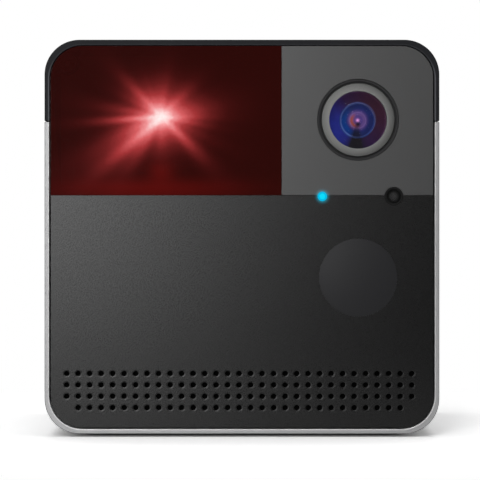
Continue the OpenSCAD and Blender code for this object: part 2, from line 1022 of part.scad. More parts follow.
module lens_middle_glass() {
    edge_y = frame_y + stop_front - middle_t;
    color(clear) {
        bar_y(lens_at, edge_y, frame_y + stop_front, middle_r);
        dome_y(lens_at, edge_y, middle_r, middle_rise, middle_ball_r);
    }
}

module lens_rear_glass() {
    back_y = frame_y + stop_back + rear_glass_t;
    color(clear) {
        bar_y(lens_at, frame_y + stop_back, back_y, rear_glass_r);
        intersection() {
            translate([lens_x, back_y + rear_rise - rear_ball_r, lens_z])
                sphere(r = rear_ball_r);
            bar_y(lens_at, back_y - join, back_y + rear_rise + join, rear_glass_r);
        }
    }
}

module lens_holder() {
    ledge_y = filter_y - holder_ledge;
    color(black)
        difference() {
            union() {
                block_y(lens_at, ledge_y, camera_board_y, holder_w, holder_w);
                bar_y(lens_at, ledge_y - holder_tube_len, camera_board_y - join, holder_w / 2 - holder_flat);
            }
            bar_y(lens_at, ledge_y - holder_tube_len - join, ledge_y, thread_r + seat_fit);
            bar_y(lens_at, ledge_y - join, filter_y + join, filter_w / 2 - filter_seat);
            block_y(lens_at, filter_y, camera_board_y + join, holder_room, holder_room);
        }
}

module infrared_filter() {
    color(clear)
        block_y(lens_at, filter_y, filter_y + filter_t, filter_w, filter_w);
}

module image_sensor() {
    color(grey)
        block_y(lens_at, camera_board_y - chip_t, camera_board_y, chip_w, chip_w);
}

module camera_board() {
    color(board_green)
        difference() {
            block_y(lens_at, camera_board_y, camera_back_y, camera_board_w, camera_board_w);
            for (at = camera_places)
                bar_y(at, camera_board_y - join, camera_back_y + join, screw_r + loose_fit);
        }
}

function ribbon_rise(t) = ribbon_wave * (1 - cos(360 * t)) / 2;

module camera_ribbon() {
    y0 = camera_back_y + plug_t;
    y1 = board_front_y - plug_t;
    steps = [for (i = [0:ribbon_steps]) i / ribbon_steps];
    low = [for (t = steps) [y0 + (y1 - y0) * t, ribbon_z - ribbon_t / 2 - ribbon_rise(t)]];
    high = [for (t = steps) [y1 + (y0 - y1) * t, ribbon_z + ribbon_t / 2 - ribbon_rise(1 - t)]];
    color(white)
        translate([ribbon_x - ribbon_w / 2, 0, 0])
            rotate([90, 0, 90])
                linear_extrude(height = ribbon_w)
                    polygon(concat(low, high));
}

// Light, microphone and motion sensor

module light_pipe() {
    color(clear) {
        bar_y(light_at, panel_y, front_board_y - led_t - run_fit, pipe_r);
        bar_y(light_at, inner_y, inner_y + pipe_collar_t, pipe_collar_r);
    }
}

module status_led() {
    color(white)
        block_y(light_at, front_board_y - led_t, front_board_y, led_w, led_w);
}

module microphone_boot() {
    boot_back_y = front_board_y - mic_len / 2;
    mesh_back_y = panel_y + loose_fit + mic_mesh_deep + mic_mesh_t;
    color(rubber)
        difference() {
            union() {
                bar_y(mic_at, panel_y + loose_fit, inner_y + join, boot_r);
                bar_y(mic_at, inner_y, boot_back_y, mic_r + boot_wall);
            }
            bar_y(mic_at, panel_y - join, mesh_back_y, mic_mesh_r + seat_fit);
            bar_y(mic_at, panel_y, boot_back_y + join, boot_port_r);
            bar_y(mic_at, front_board_y - mic_len, boot_back_y + join, mic_r + seat_fit);
        }
}

module microphone_mesh() {
    mesh_y = panel_y + loose_fit + mic_mesh_deep;
    color(grey)
        bar_y(mic_at, mesh_y, mesh_y + mic_mesh_t, mic_mesh_r);
}

module microphone_capsule() {
    color(silver)
        bar_y(mic_at, front_board_y - mic_len, front_board_y, mic_r);
}

module motion_sensor() {
    color(steel) {
        bar_y(motion_at, front_board_y - motion_can_h, front_board_y, motion_can_r);
        bar_y(motion_at, front_board_y - motion_base_t, front_board_y, motion_base_r);
    }
}

module front_board() {
    color(board_green)
        difference() {
            plate(front_board_y, front_board_y + pcb_t)
                area(
                    lens_x - front_board_half, front_board_low_z,
                    lens_x + front_board_half, front_board_high_z
                );
            for (at = front_places)
                bar_y(at, front_board_y - join, front_board_y + pcb_t + join, screw_r + loose_fit);
        }
}

// Speaker

module speaker_gasket() {
    color(rubber)
        plate(inner_y, speaker_y)
            difference() {
                oval(speaker_at, speaker_w, speaker_h);
                oval(speaker_at, mouth_w, mouth_h);
            }
}

module speaker_basket() {
    flange_y = speaker_y + speaker_flange_t;
    color(black)
        difference() {
            union() {
                plate(speaker_y, flange_y)
                    union() {
                        oval(speaker_at, speaker_w, speaker_h);
                        oval(speaker_at, 2 * ear_x + 2 * ear_r, 2 * ear_r);
                    }
                plate(flange_y - join, basket_back_y)
                    oval(speaker_at, mouth_w + 2 * basket_wall, mouth_h + 2 * basket_wall);
            }
            plate(speaker_y - join, basket_back_y - basket_wall)
                oval(speaker_at, mouth_w, mouth_h);
            bar_y(speaker_at, speaker_y, basket_back_y + join, coil_r + coil_gap);
            for (s = [-1, 1])
                bar_y([s * ear_x, speaker_z], speaker_y - join, flange_y + join, screw_r + loose_fit);
        }
}

module speaker_surround() {
    color(rubber)
        plate(cone_y, cone_y + surround_t)
            difference() {
                oval(speaker_at, mouth_w - 2 * seat_fit, mouth_h - 2 * seat_fit);
                oval(speaker_at, cone_w + 2 * cone_gap, cone_h + 2 * cone_gap);
            }
}

module speaker_cone() {
    color(grey) {
        plate(cone_y, cone_y + cone_t)
            oval(speaker_at, cone_w, cone_h);
        difference() {
            bar_y(speaker_at, cone_y + cone_t / 2, cone_y + cone_t + coil_len, coil_r);
            bar_y(speaker_at, cone_y + cone_t, cone_y + cone_t + coil_len + join, coil_r - coil_wall);
        }
    }
}

module speaker_magnet() {
    pole_y = cone_y + cone_t + cone_travel + end_gap;
    gap_back_y = basket_back_y + magnet_len - magnet_wall / 2;
    color(steel)
        difference() {
            bar_y(speaker_at, basket_back_y, basket_back_y + magnet_len, magnet_r);
            difference() {
                bar_y(speaker_at, basket_back_y - join, gap_back_y, coil_r + coil_gap);
                bar_y(speaker_at, basket_back_y - 2 * join, basket_back_y + magnet_len, pole_r);
            }
        }
    color(steel)
        bar_y(speaker_at, pole_y, basket_back_y + join, pole_r);
}

// Laser pointer, drawn about its pivot

module at_pivot() {
    translate([laser_x, pivot_y, laser_z])
        children();
}

module bar_x(x0, x1, z, r) {
    translate([x0, 0, z])
        rotate([0, 90, 0])
            cylinder(r = r, h = x1 - x0);
}

module bar_z(y, z0, z1, r) {
    translate([0, y, z0])
        cylinder(r = r, h = z1 - z0);
}

// Involute angle in degrees
function involute(a) = tan(a) * 180 / PI - a;

// Half the angle of a tooth at a radius; below the base circle its flanks are radial
function tooth_half(m, n, r) =
    let (pitch_r = m * n / 2, base_r = pitch_r * cos(pressure))
        90 / n - backlash / 2 / pitch_r * 180 / PI / 2 + involute(pressure)
            - (r > base_r ? involute(acos(base_r / r)) : 0);

function on_circle(r, a) = [r * cos(a), r * sin(a)];

// Outline of a gear with a tooth, or a gap, at the angle turn
module gear_outline(m, n, turn) {
    pitch_r = m * n / 2;
    root_r = pitch_r - dedendum * m;
    tip_r = pitch_r + addendum * m;
    radii = [for (i = [0:flank_steps]) root_r + (tip_r - root_r) * i / flank_steps];
    points = [
        for (k = [0:n - 1])
            for (side = [-1, 1])
                for (i = [0:flank_steps])
                    let (r = radii[side < 0 ? i : flank_steps - i])
                        on_circle(r, turn + k * 360 / n + side * tooth_half(m, n, r))
    ];
    polygon(points);
}

module laser_module() {
    color(brass)
        at_pivot()
            difference() {
                bar_y([0, 0], -laser_len / 2, laser_len / 2, laser_r);
                bar_y([0, 0], -laser_len / 2 - join, -laser_len / 2 + laser_bore, laser_lens_r + seat_fit);
            }
}

module laser_lens() {
    edge_y = -laser_len / 2 + laser_lens_deep;
    color(clear)
        at_pivot() {
            bar_y([0, 0], edge_y, edge_y + laser_lens_t, laser_lens_r);
            dome_y([0, 0], edge_y, laser_lens_r, laser_lens_rise, laser_ball_r);
        }
}

module laser_cradle() {
    color(silver)
        at_pivot()
            difference() {
                union() {
                    bar_y([0, 0], -cradle_half, cradle_half, cradle_r);
                    bar_x(-pivot_end_x, pivot_end_x, 0, pivot_r);
                }
                bar_y([0, 0], -cradle_half - join, cradle_half + join, laser_r + seat_fit);
            }
}

module tilt_gear() {
    color(white)
        at_pivot()
            translate([tilt_gear_x, 0, 0])
                rotate([90, 0, 90])
                    linear_extrude(height = tilt_gear_t)
                        difference() {
                            gear_outline(tilt_module, tilt_teeth, -90);
                            circle(r = pivot_r + seat_fit);
                        }
}

module tilt_pinion() {
    color(white)
        at_pivot() {
            translate([tilt_gear_x, 0, -tilt_drop])
                rotate([90, 0, 90])
                    linear_extrude(height = tilt_gear_t)
                        gear_outline(tilt_module, pinion_teeth, 90 + 180 / pinion_teeth);
            bar_x(tilt_gear_x + join, arm_out_x + motor_bore - end_gap, -tilt_drop, tilt_shaft_r);
        }
}

module tilt_motor() {
    color(steel)
        at_pivot()
            difference() {
                bar_x(arm_out_x, arm_out_x + tilt_motor_len, -tilt_drop, tilt_motor_r);
                bar_x(arm_out_x - join, arm_out_x + motor_bore, -tilt_drop, tilt_shaft_r + run_fit);
            }
}

module yoke_arm(x0) {
    translate([x0, 0, 0])
        rotate([90, 0, 90])
            linear_extrude(height = arm_t)
                difference() {
                    union() {
                        area(-arm_half, yoke_base + yoke_t / 2, arm_half, 0);
                        circle(r = arm_half);
                    }
                    circle(r = pivot_r + run_fit);
                    if (x0 > 0)
                        translate([0, -tilt_drop])
                            circle(r = shaft_hole_r);
                }
}

module pan_yoke() {
    color(silver)
        at_pivot()
            difference() {
                union() {
                    bar_z(0, yoke_base, yoke_top, yoke_r);
                    bar_z(0, pan_shaft_end, yoke_base + join, pan_shaft_r);
                    yoke_arm(arm_x);
                    yoke_arm(-arm_out_x);
                }
                bar_z(0, pan_shaft_end - join, yoke_top + join, pan_bore_r);
            }
}

module pan_gear() {
    color(white)
        at_pivot()
            translate([0, 0, pan_gear_base])
                linear_extrude(height = pan_gear_t)
                    difference() {
                        gear_outline(pan_module, pan_teeth, 90);
                        circle(r = pan_shaft_r + seat_fit);
                    }
}

module pan_pinion() {
    color(white)
        at_pivot() {
            translate([0, pan_drive_y, pan_gear_base])
                linear_extrude(height = pan_gear_t)
                    gear_outline(pan_module, pinion_teeth, -90 + 180 / pinion_teeth);
            bar_z(pan_drive_y, shelf_base - motor_bore + end_gap, yoke_base - join, pan_drive_shaft_r);
        }
}

module pan_bush() {
    color(brass)
        at_pivot()
            difference() {
                union() {
                    bar_z(0, shelf_base, shelf_top + bush_flange_t, bush_r);
                    bar_z(0, shelf_top, shelf_top + bush_flange_t, bush_flange_r);
                }
                bar_z(0, shelf_base - join, shelf_top + bush_flange_t + join, pan_shaft_r + run_fit);
            }
}

module pan_clip() {
    color(steel)
        at_pivot()
            difference() {
                bar_z(0, shelf_base - end_gap - clip_t, shelf_base - end_gap, pan_shaft_r + clip_wall);
                bar_z(0, shelf_base - 2 * end_gap - clip_t, shelf_base, pan_shaft_r + seat_fit);
            }
}

module pan_motor() {
    color(steel)
        at_pivot()
            difference() {
                bar_z(pan_drive_y, shelf_base - pan_motor_len, shelf_base, pan_motor_r);
                bar_z(pan_drive_y, shelf_base - motor_bore, shelf_base + join, pan_drive_shaft_r + run_fit);
            }
}

module laser_bracket() {
    flange_y = -pivot_back;
    color(silver)
        at_pivot()
            difference() {
                union() {
                    translate([-shelf_half, flange_y, shelf_base])
                        cube([2 * shelf_half, pivot_back + shelf_back, shelf_t]);
                    translate([-shelf_half, flange_y, shelf_base - flange_h])
                        cube([2 * shelf_half, flange_t, flange_h + shelf_t]);
                    for (x0 = [-shelf_half, shelf_half - gusset_t])
                        translate([x0, flange_y + flange_t - join, shelf_base + join])
                            rotate([90, 0, 90])
                                linear_extrude(height = gusset_t)
                                    polygon([[0, 0], [gusset_h, 0], [0, -gusset_h]]);
                }
                bar_z(0, shelf_base - join, shelf_top + join, bush_r + seat_fit);
                bar_z(pan_drive_y, shelf_base - join, shelf_top + join, shaft_hole_r);
                for (s = [-1, 1])
                    bar_y(
                        [s * bracket_screw_x, bracket_screw_z - laser_z],
                        flange_y - join, flange_y + flange_t + join, screw_r + loose_fit
                    );
            }
}

// Electronics

module main_board() {
    color(board_green)
        difference() {
            plate(board_front_y, board_y)
                area(-board_w / 2, board_low_z, board_w / 2, board_top_z);
            for (at = board_places)
                bar_y(at, board_front_y - join, board_y + join, screw_r + loose_fit);
        }
}

module board_chips() {
    color(black) {
        block_y([0, processor_z], board_front_y - processor_t, board_front_y, processor_w, processor_w);
        for (s = [-1, 1])
            block_y(
                [s * (memory_w + memory_gap) / 2, processor_z - (processor_w + memory_w) / 2 - memory_gap],
                board_front_y - memory_t, board_front_y, memory_w, memory_w
            );
        for (s = [-1, 1])
            bar_y(
                [s * (board_w / 2 - coil_can_r - coil_can_edge), board_low_z + board_h / 4],
                board_front_y - coil_can_h, board_front_y, coil_can_r
            );
    }
}

module wifi_module() {
    color(steel)
        block_y([wifi_x, wifi_z], board_front_y - wifi_t, board_front_y, wifi_w, wifi_h);
}

// One plug on the back of the camera board, one on the front board, and four on the main board
module board_connectors() {
    sensor_at = [sensor_lead_x, sensor_lead_z];
    front_back_y = front_board_y + pcb_t;
    color(white) {
        block_y([ribbon_x, ribbon_z], camera_back_y, camera_back_y + plug_t, plug_w, plug_h);
        block_y([ribbon_x, ribbon_z], board_front_y - plug_t, board_front_y, plug_w, plug_h);
        block_y(sensor_at, front_back_y, front_back_y + plug_t, plug_h, plug_h);
        block_y(sensor_at, board_front_y - plug_t, board_front_y, plug_h, plug_h);
        block_y([speaker_lead_x, speaker_plug_z], board_front_y - plug_t, board_front_y, plug_h, plug_h);
        block_y([laser_x, laser_lead_z], board_front_y - plug_t, board_front_y, plug_h, plug_h);
        translate([wifi_x - aerial_plug / 2, aerial_lead_y - aerial_plug / 2, wifi_z - aerial_plug / 2])
            cube(aerial_plug);
    }
}

// Quarter bend from +Y up to +Z, starting at one place
module bend_up(at, r) {
    translate([at[0], at[1], at[2] + lead_bend])
        rotate([90, 0, 90])
            rotate([0, 0, -90])
                rotate_extrude(angle = 90)
                    translate([lead_bend, 0])
                        circle(r = r);
}

module speaker_lead() {
    turn_y = board_front_y - plug_t / 2 - lead_bend;
    bar_y([speaker_lead_x, speaker_z], basket_back_y, turn_y, lead_r);
    bend_up([speaker_lead_x, turn_y, speaker_z], lead_r);
    translate([speaker_lead_x, turn_y + lead_bend, speaker_z + lead_bend])
        cylinder(r = lead_r, h = speaker_plug_z - plug_h / 2 - speaker_z - lead_bend);
}

module laser_lead() {
    turn_z = laser_lead_z + lead_bend;
    translate([laser_x, pivot_y, turn_z])
        cylinder(r = lead_r, h = laser_z + yoke_top + end_gap - turn_z);
    translate([laser_x, pivot_y + lead_bend, turn_z])
        rotate([90, 0, 90])
            rotate([0, 0, 180])
                rotate_extrude(angle = 90)
                    translate([lead_bend, 0])
                        circle(r = lead_r);
    bar_y([laser_x, laser_lead_z], pivot_y + lead_bend, board_front_y - plug_t, lead_r);
}

module board_leads() {
    color(rubber) {
        speaker_lead();
        laser_lead();
        bar_y(
            [sensor_lead_x, sensor_lead_z],
            front_board_y + pcb_t + plug_t, board_front_y - plug_t, lead_r
        );
        translate([wifi_x, aerial_lead_y, wifi_z + aerial_plug / 2])
            cylinder(r = aerial_lead_r, h = top_z - wall - aerial_t - wifi_z - aerial_plug / 2);
    }
}

module aerial() {
    color(board_green)
        translate([wifi_x - aerial_w / 2, aerial_lead_y - aerial_d / 2, top_z - wall - aerial_t])
            cube([aerial_w, aerial_d, aerial_t]);
}

module power_socket() {
    at = [socket_x, socket_z];
    color(black) {
        difference() {
            block_y(at, board_y, socket_y, socket_w, socket_w);
            bar_y(at, socket_y - socket_deep, socket_y + join, socket_r);
        }
        bar_y(at, socket_y - socket_deep - join, socket_y - socket_pin_set, socket_pin_r);
    }
}

module reset_switch() {
    at = [reset_x, reset_z];
    color(grey)
        difference() {
            block_y(at, board_y, switch_y, switch_w, switch_w);
            bar_y(at, switch_y - stem_in - reset_travel - end_gap, switch_y + join, stem_r + run_fit);
        }
}

module reset_button() {
    at = [reset_x, reset_z];
    color(white) {
        bar_y(at, cover_y - reset_collar_t, rear_y - reset_set, reset_r);
        bar_y(at, cover_y - reset_collar_t, cover_y, reset_collar_r);
        bar_y(at, switch_y - stem_in, cover_y - reset_collar_t / 2, stem_r);
    }
}

body_shell();
top_cap();
front_frame();
rear_cover();
laser_window();
camera_panel();
speaker_panel();
motion_window();
grille_cloth();
foot_pad();
tripod_insert();
base_plate();
tie_rods();
case_screws();
small_screws();
lens_seal();
lens_bezel();
lens_barrel();
lens_front_glass();
lens_middle_glass();
lens_rear_glass();
lens_holder();
infrared_filter();
image_sensor();
camera_board();
camera_ribbon();
light_pipe();
status_led();
microphone_boot();
microphone_mesh();
microphone_capsule();
motion_sensor();
front_board();
speaker_gasket();
speaker_basket();
speaker_surround();
speaker_cone();
speaker_magnet();
laser_bracket();
pan_bush();
pan_yoke();
pan_gear();
pan_clip();
pan_motor();
pan_pinion();
tilt_motor();
tilt_pinion();
laser_cradle();
tilt_gear();
laser_module();
laser_lens();
main_board();
board_chips();
wifi_module();
board_connectors();
board_leads();
aerial();
power_socket();
reset_switch();
reset_button();
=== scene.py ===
import json
import math

import bmesh
import bpy
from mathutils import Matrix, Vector


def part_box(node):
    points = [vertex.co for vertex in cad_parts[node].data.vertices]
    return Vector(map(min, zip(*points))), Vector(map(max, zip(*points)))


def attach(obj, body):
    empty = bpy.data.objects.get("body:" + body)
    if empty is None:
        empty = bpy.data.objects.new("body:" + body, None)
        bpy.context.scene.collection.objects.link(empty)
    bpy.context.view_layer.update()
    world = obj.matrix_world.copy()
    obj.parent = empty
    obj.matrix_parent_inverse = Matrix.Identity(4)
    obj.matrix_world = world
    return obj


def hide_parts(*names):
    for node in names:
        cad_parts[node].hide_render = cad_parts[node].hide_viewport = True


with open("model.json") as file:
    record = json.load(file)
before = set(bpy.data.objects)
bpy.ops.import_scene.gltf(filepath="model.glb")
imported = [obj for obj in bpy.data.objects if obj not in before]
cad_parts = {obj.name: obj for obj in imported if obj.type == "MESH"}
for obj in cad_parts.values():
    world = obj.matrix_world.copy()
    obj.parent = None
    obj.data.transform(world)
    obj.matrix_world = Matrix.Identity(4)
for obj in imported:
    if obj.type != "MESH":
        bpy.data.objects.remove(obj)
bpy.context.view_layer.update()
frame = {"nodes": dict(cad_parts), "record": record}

MM = 0.001
MERGE = 0.002 * MM
FULL_TURN = 2 * math.pi

slot_of = {part["node"]: part["material_slot"] for part in frame["record"]["subparts"]}
body_of = {}
for body_name, body_nodes in frame["record"]["behaviour"]["bodies"].items():
    for body_node in body_nodes:
        body_of[body_node] = body_name


# Sizes, read from the solids

def front_middle(low, high):
    """The middle of a box, seen from the front."""
    return ((low[0] + high[0]) / 2, (low[2] + high[2]) / 2)


def half_width(low, high):
    return (high[0] - low[0]) / 2


shell_low, shell_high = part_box("body_shell")
window_low, window_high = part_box("laser_window")
camera_low, camera_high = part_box("camera_panel")
speaker_low, speaker_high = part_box("speaker_panel")
motion_low, motion_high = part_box("motion_window")
seal_low, seal_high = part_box("lens_seal")
bezel_low, bezel_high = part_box("lens_bezel")
glass_low, glass_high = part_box("lens_front_glass")
pipe_low, pipe_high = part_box("light_pipe")
boot_low, boot_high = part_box("microphone_boot")
gauze_low, gauze_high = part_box("microphone_mesh")
insert_low, insert_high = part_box("tripod_insert")
button_low, button_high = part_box("reset_button")
screws_low, screws_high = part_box("case_screws")

CAP_GAP = 0.2 * MM
PANEL_GAP = 0.15 * MM
RIM_STEP = 0.15 * MM
FRAME_DEPTH = 3.2 * MM
COVER_DEPTH = 2.6 * MM

side_x = shell_high[0]
shell_foot = shell_low[2]
shell_top = shell_high[2]
cap_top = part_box("top_cap")[1][2]
cap_foot = shell_top + CAP_GAP
rim_front = shell_low[1]
rim_back = shell_high[1]
panel_front = window_low[1]
panel_back = window_high[1]
corner_r = 9 * MM
wall = 1.25 * MM
rim_r = 8.6 * MM
rim_top = window_high[2] + PANEL_GAP
rim_inner_back = panel_back - RIM_STEP
panel_r = rim_r - (side_x - wall + window_low[0])
lens_at = front_middle(seal_low, seal_high)
light_at = front_middle(pipe_low, pipe_high)
port_at = front_middle(boot_low, boot_high)
motion_at = front_middle(motion_low, motion_high)
button_at = front_middle(button_low, button_high)
seal_r = half_width(seal_low, seal_high)
bezel_r = half_width(bezel_low, bezel_high)
glass_r = half_width(glass_low, glass_high)
motion_r = half_width(motion_low, motion_high)
gauze_r = half_width(gauze_low, gauze_high)
pipe_r = 1.2 * MM
boot_r = 2.4 * MM
seat = 0.03 * MM
frame_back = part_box("front_frame")[0][1] + FRAME_DEPTH
cover_front = screws_high[1] - COVER_DEPTH


# Mesh tools

ARC_STEPS = 20
EASE_STEPS = 3
FLAT_FACE = 0.9999
SHARP_TURN = 35
FLAT_TURN = 0.5
CORNER_SHARE = 0.45


def placed_object(name, data):
    """A new object in the scene."""
    obj = bpy.data.objects.new(name, data)
    bpy.context.scene.collection.objects.link(obj)
    return obj


def object_from(bm, name):
    """A new object with smooth shading, from a mesh that was built up."""
    mesh = bpy.data.meshes.new(name)
    bm.to_mesh(mesh)
    bm.free()
    mesh.shade_smooth()
    return placed_object(name, mesh)


def piece_from(bm, name):
    """A new object whose doubles are merged and whose faces point outwards."""
    bmesh.ops.remove_doubles(bm, verts=bm.verts, dist=MERGE)
    bmesh.ops.recalc_face_normals(bm, faces=bm.faces)
    return object_from(bm, name)


def settle(obj):
    """Turns an object and its modifiers into a plain mesh."""
    graph = bpy.context.evaluated_depsgraph_get()
    mesh = bpy.data.meshes.new_from_object(obj.evaluated_get(graph))
    mesh.name = obj.name
    obj.modifiers.clear()
    obj.data = mesh
    return obj


def discard(obj):
    bpy.data.objects.remove(obj, do_unlink=True)


def round_edges(obj, width, segments=3):
    bevel = obj.modifiers.new("edges", "BEVEL")
    bevel.width = width
    bevel.segments = segments
    bevel.limit_method = "ANGLE"
    bevel.angle_limit = math.radians(SHARP_TURN)
    return obj


def even_shading(obj):
    weigh = obj.modifiers.new("shading", "WEIGHTED_NORMAL")
    weigh.mode = "FACE_AREA"
    weigh.keep_sharp = True
    return obj


def cut(obj, tool):
    """Takes the tool's shape out of an object and throws the tool away."""
    boolean = obj.modifiers.new("cut", "BOOLEAN")
    boolean.operation = "DIFFERENCE"
    boolean.solver = "EXACT"
    boolean.object = tool
    settle(obj)
    discard(tool)
    return obj


def quarter(centre, r, start):
    """Points on a quarter circle that starts at an angle in degrees and turns clockwise."""
    angles = [math.radians(start - 90 * i / ARC_STEPS) for i in range(ARC_STEPS + 1)]
    return [(centre[0] + r * math.cos(a), centre[1] + r * math.sin(a)) for a in angles]


def arc(centre, r, start, end):
    angles = [start + (end - start) * i / ARC_STEPS for i in range(ARC_STEPS + 1)]
    return [(centre[0] + r * math.cos(a), centre[1] + r * math.sin(a)) for a in angles]


def slab(name, outline, y_front, y_back):
    """A plate with this outline, seen from the front, between two depths."""
    bm = bmesh.new()
    front = [bm.verts.new((x, y_front, z)) for x, z in outline]
    back = [bm.verts.new((x, y_back, z)) for x, z in outline]
    bm.faces.new(front)
    bm.faces.new(list(reversed(back)))
    for i, corner in enumerate(front):
        j = (i + 1) % len(front)
        bm.faces.new((corner, back[i], back[j], front[j]))
    return piece_from(bm, name)


def block(bm, low, high):
    """Adds a box between two corners."""
    verts = [
        bm.verts.new((x, y, z))
        for x in (low[0], high[0])
        for y in (low[1], high[1])
        for z in (low[2], high[2])
    ]
    sides = ((0, 1, 3, 2), (4, 6, 7, 5), (0, 4, 5, 1), (2, 3, 7, 6), (0, 2, 6, 4), (1, 5, 7, 3))
    for corners in sides:
        bm.faces.new([verts[i] for i in corners])


def eased(path, radius, closed=False):
    """A path of radius and depth whose corners are rounded."""
    out = []
    last = len(path) - 1
    for i, (r, y) in enumerate(path):
        if not closed and i in (0, last):
            out.append((r, y))
            continue
        ends = []
        for other in (path[i - 1], path[(i + 1) % len(path)]):
            run = math.hypot(other[0] - r, other[1] - y)
            share = min(radius, CORNER_SHARE * run) / run
            ends.append((r + (other[0] - r) * share, y + (other[1] - y) * share))
        for k in range(EASE_STEPS + 1):
            t = k / EASE_STEPS
            weights = ((1 - t) ** 2, 2 * t * (1 - t), t * t)
            points = (ends[0], (r, y), ends[1])
            bent = [sum(w * p[axis] for w, p in zip(weights, points)) for axis in (0, 1)]
            out.append(tuple(bent))
    return out


def turned(name, path, at, steps, ring=False):
    """A shape turned about an axis along Y; a ring's path closes on itself."""
    bm = bmesh.new()
    loops = []
    for r, y in path:
        if r < MERGE:
            loops.append([bm.verts.new((at[0], y, at[1]))])
            continue
        angles = [FULL_TURN * i / steps for i in range(steps)]
        places = [(at[0] + r * math.cos(a), y, at[1] + r * math.sin(a)) for a in angles]
        loops.append([bm.verts.new(place) for place in places])
    following = loops[1:] + (loops[:1] if ring else [])
    for one, two in zip(loops, following):
        for i in range(steps):
            j = (i + 1) % steps
            corners = [one[i % len(one)], one[j % len(one)], two[j % len(two)], two[i % len(two)]]
            corners = list(dict.fromkeys(corners))
            if len(corners) > 2:
                bm.faces.new(corners)
    return piece_from(bm, name)


def crisp(obj, turn=40):
    """Keeps edges sharp where the surface turns by more than this many degrees."""
    obj.data.set_sharp_from_angle(angle=math.radians(turn))
    return obj


def keep_flats(obj):
    """Keeps the flat front and back of a panel flat: their borders are sharp, and so are sharper edges."""
    crisp(obj)
    bm = bmesh.new()
    bm.from_mesh(obj.data)
    for edge in bm.edges:
        flats = [abs(face.normal.y) > FLAT_FACE for face in edge.link_faces]
        if any(flats) and not all(flats):
            edge.smooth = False
    bm.to_mesh(obj.data)
    bm.free()
    return obj


def merged_copy(node, name):
    """A copy of a solid's mesh with its loose triangles joined and its flat faces made whole."""
    bm = bmesh.new()
    bm.from_mesh(frame["nodes"][node].data)
    bmesh.ops.remove_doubles(bm, verts=bm.verts, dist=MERGE)
    bmesh.ops.dissolve_limit(
        bm, angle_limit=math.radians(FLAT_TURN), use_dissolve_boundaries=False,
        verts=bm.verts, edges=bm.edges, delimit=set()
    )
    return object_from(bm, name)


def eased_copy(node, name, width):
    obj = merged_copy(node, name)
    round_edges(obj, width, 2)
    even_shading(obj)
    return settle(obj)


# Node tools

NOISE_LOW = 0.3
NOISE_HIGH = 0.7


def plug(tree, node, inputs):
    """Links a node's inputs to sockets, and sets those that are given as plain values."""
    for key, value in inputs.items():
        if isinstance(value, bpy.types.NodeSocket):
            tree.links.new(value, node.inputs[key])
        else:
            node.inputs[key].default_value = value


def add_node(tree, kind, inputs=None, **settings):
    """A new node with these settings and inputs."""
    made = tree.nodes.new(kind)
    for name, value in settings.items():
        setattr(made, name, value)
    plug(tree, made, inputs or {})
    return made


def calc(tree, operation, a, b=0.0, clamp=False):
    pair = {0: a, 1: b}
    return add_node(tree, "ShaderNodeMath", pair, operation=operation, use_clamp=clamp).outputs[0]


def sum_of(tree, first, share, second, other_share):
    """Two values added up, each times its share."""
    part = calc(tree, "MULTIPLY", first, share)
    return calc(tree, "ADD", part, calc(tree, "MULTIPLY", second, other_share))


def vector_calc(tree, operation, a, b=(0.0, 0.0, 0.0)):
    """Vector arithmetic; gives a number where the operation makes one."""
    made = add_node(tree, "ShaderNodeVectorMath", {0: a, 1: b}, operation=operation)
    single = operation in ("LENGTH", "DISTANCE", "DOT_PRODUCT")
    return made.outputs["Value" if single else "Vector"]


def parts_of(tree, vector):
    return add_node(tree, "ShaderNodeSeparateXYZ", {"Vector": vector}).outputs


def vector_of(tree, x=0.0, y=0.0, z=0.0):
    return add_node(tree, "ShaderNodeCombineXYZ", {"X": x, "Y": y, "Z": z}).outputs["Vector"]


def value_mix(tree, share, first, second):
    values = {0: share, 2: first, 3: second}
    return add_node(tree, "ShaderNodeMix", values, data_type="FLOAT").outputs[0]


def colour_mix(tree, share, first, second, blend="MIX"):
    colours = {0: share, 6: first, 7: second}
    return add_node(tree, "ShaderNodeMix", colours, data_type="RGBA", blend_type=blend).outputs[2]


def ramp(tree, value, stops):
    """A colour ramp; each stop is a place from 0 to 1 and a colour."""
    made = add_node(tree, "ShaderNodeValToRGB", {"Fac": value})
    elements = made.color_ramp.elements
    while len(elements) < len(stops):
        elements.new(1.0)
    for element, (place, colour) in zip(elements, stops):
        element.position = place
        element.color = colour
    return made.outputs["Color"]


def spread(tree, value, low, high, new_low, new_high):
    """Maps a value from one range to another and holds it there."""
    limits = {"From Min": low, "From Max": high, "To Min": new_low, "To Max": new_high}
    return add_node(tree, "ShaderNodeMapRange", {"Value": value, **limits}).outputs["Result"]


def uneven(tree, grain, low, high):
    """Carries noise over from the range where most of it lies to another."""
    return spread(tree, grain, NOISE_LOW, NOISE_HIGH, low, high)


def seen(red, green, blue):
    """A colour as it shows on a screen, from 0 to 255, as light."""
    out = []
    for value in (red, green, blue):
        v = value / 255
        out.append(v / 12.92 if v <= 0.04045 else ((v + 0.055) / 1.055) ** 2.4)
    return (*out, 1.0)


def grey(level):
    return (level, level, level, 1.0)


def scaled(colour, factor):
    return tuple(min(1.0, c * factor) for c in colour[:3]) + (1.0,)


def cleared_tree(owner):
    """The emptied node tree of a material or a world."""
    owner.use_nodes = True
    owner.node_tree.nodes.clear()
    return owner.node_tree


def bare_material(name):
    """A material with one Principled shader; returns the material, its tree and the shader."""
    made = bpy.data.materials.new(name)
    tree = cleared_tree(made)
    shader = tree.nodes.new("ShaderNodeBsdfPrincipled")
    add_node(tree, "ShaderNodeOutputMaterial", {"Surface": shader.outputs["BSDF"]})
    return made, tree, shader


def shader_of(made):
    return next(n for n in made.node_tree.nodes if n.type == "BSDF_PRINCIPLED")


def object_place(tree):
    return tree.nodes.new("ShaderNodeTexCoord").outputs["Object"]


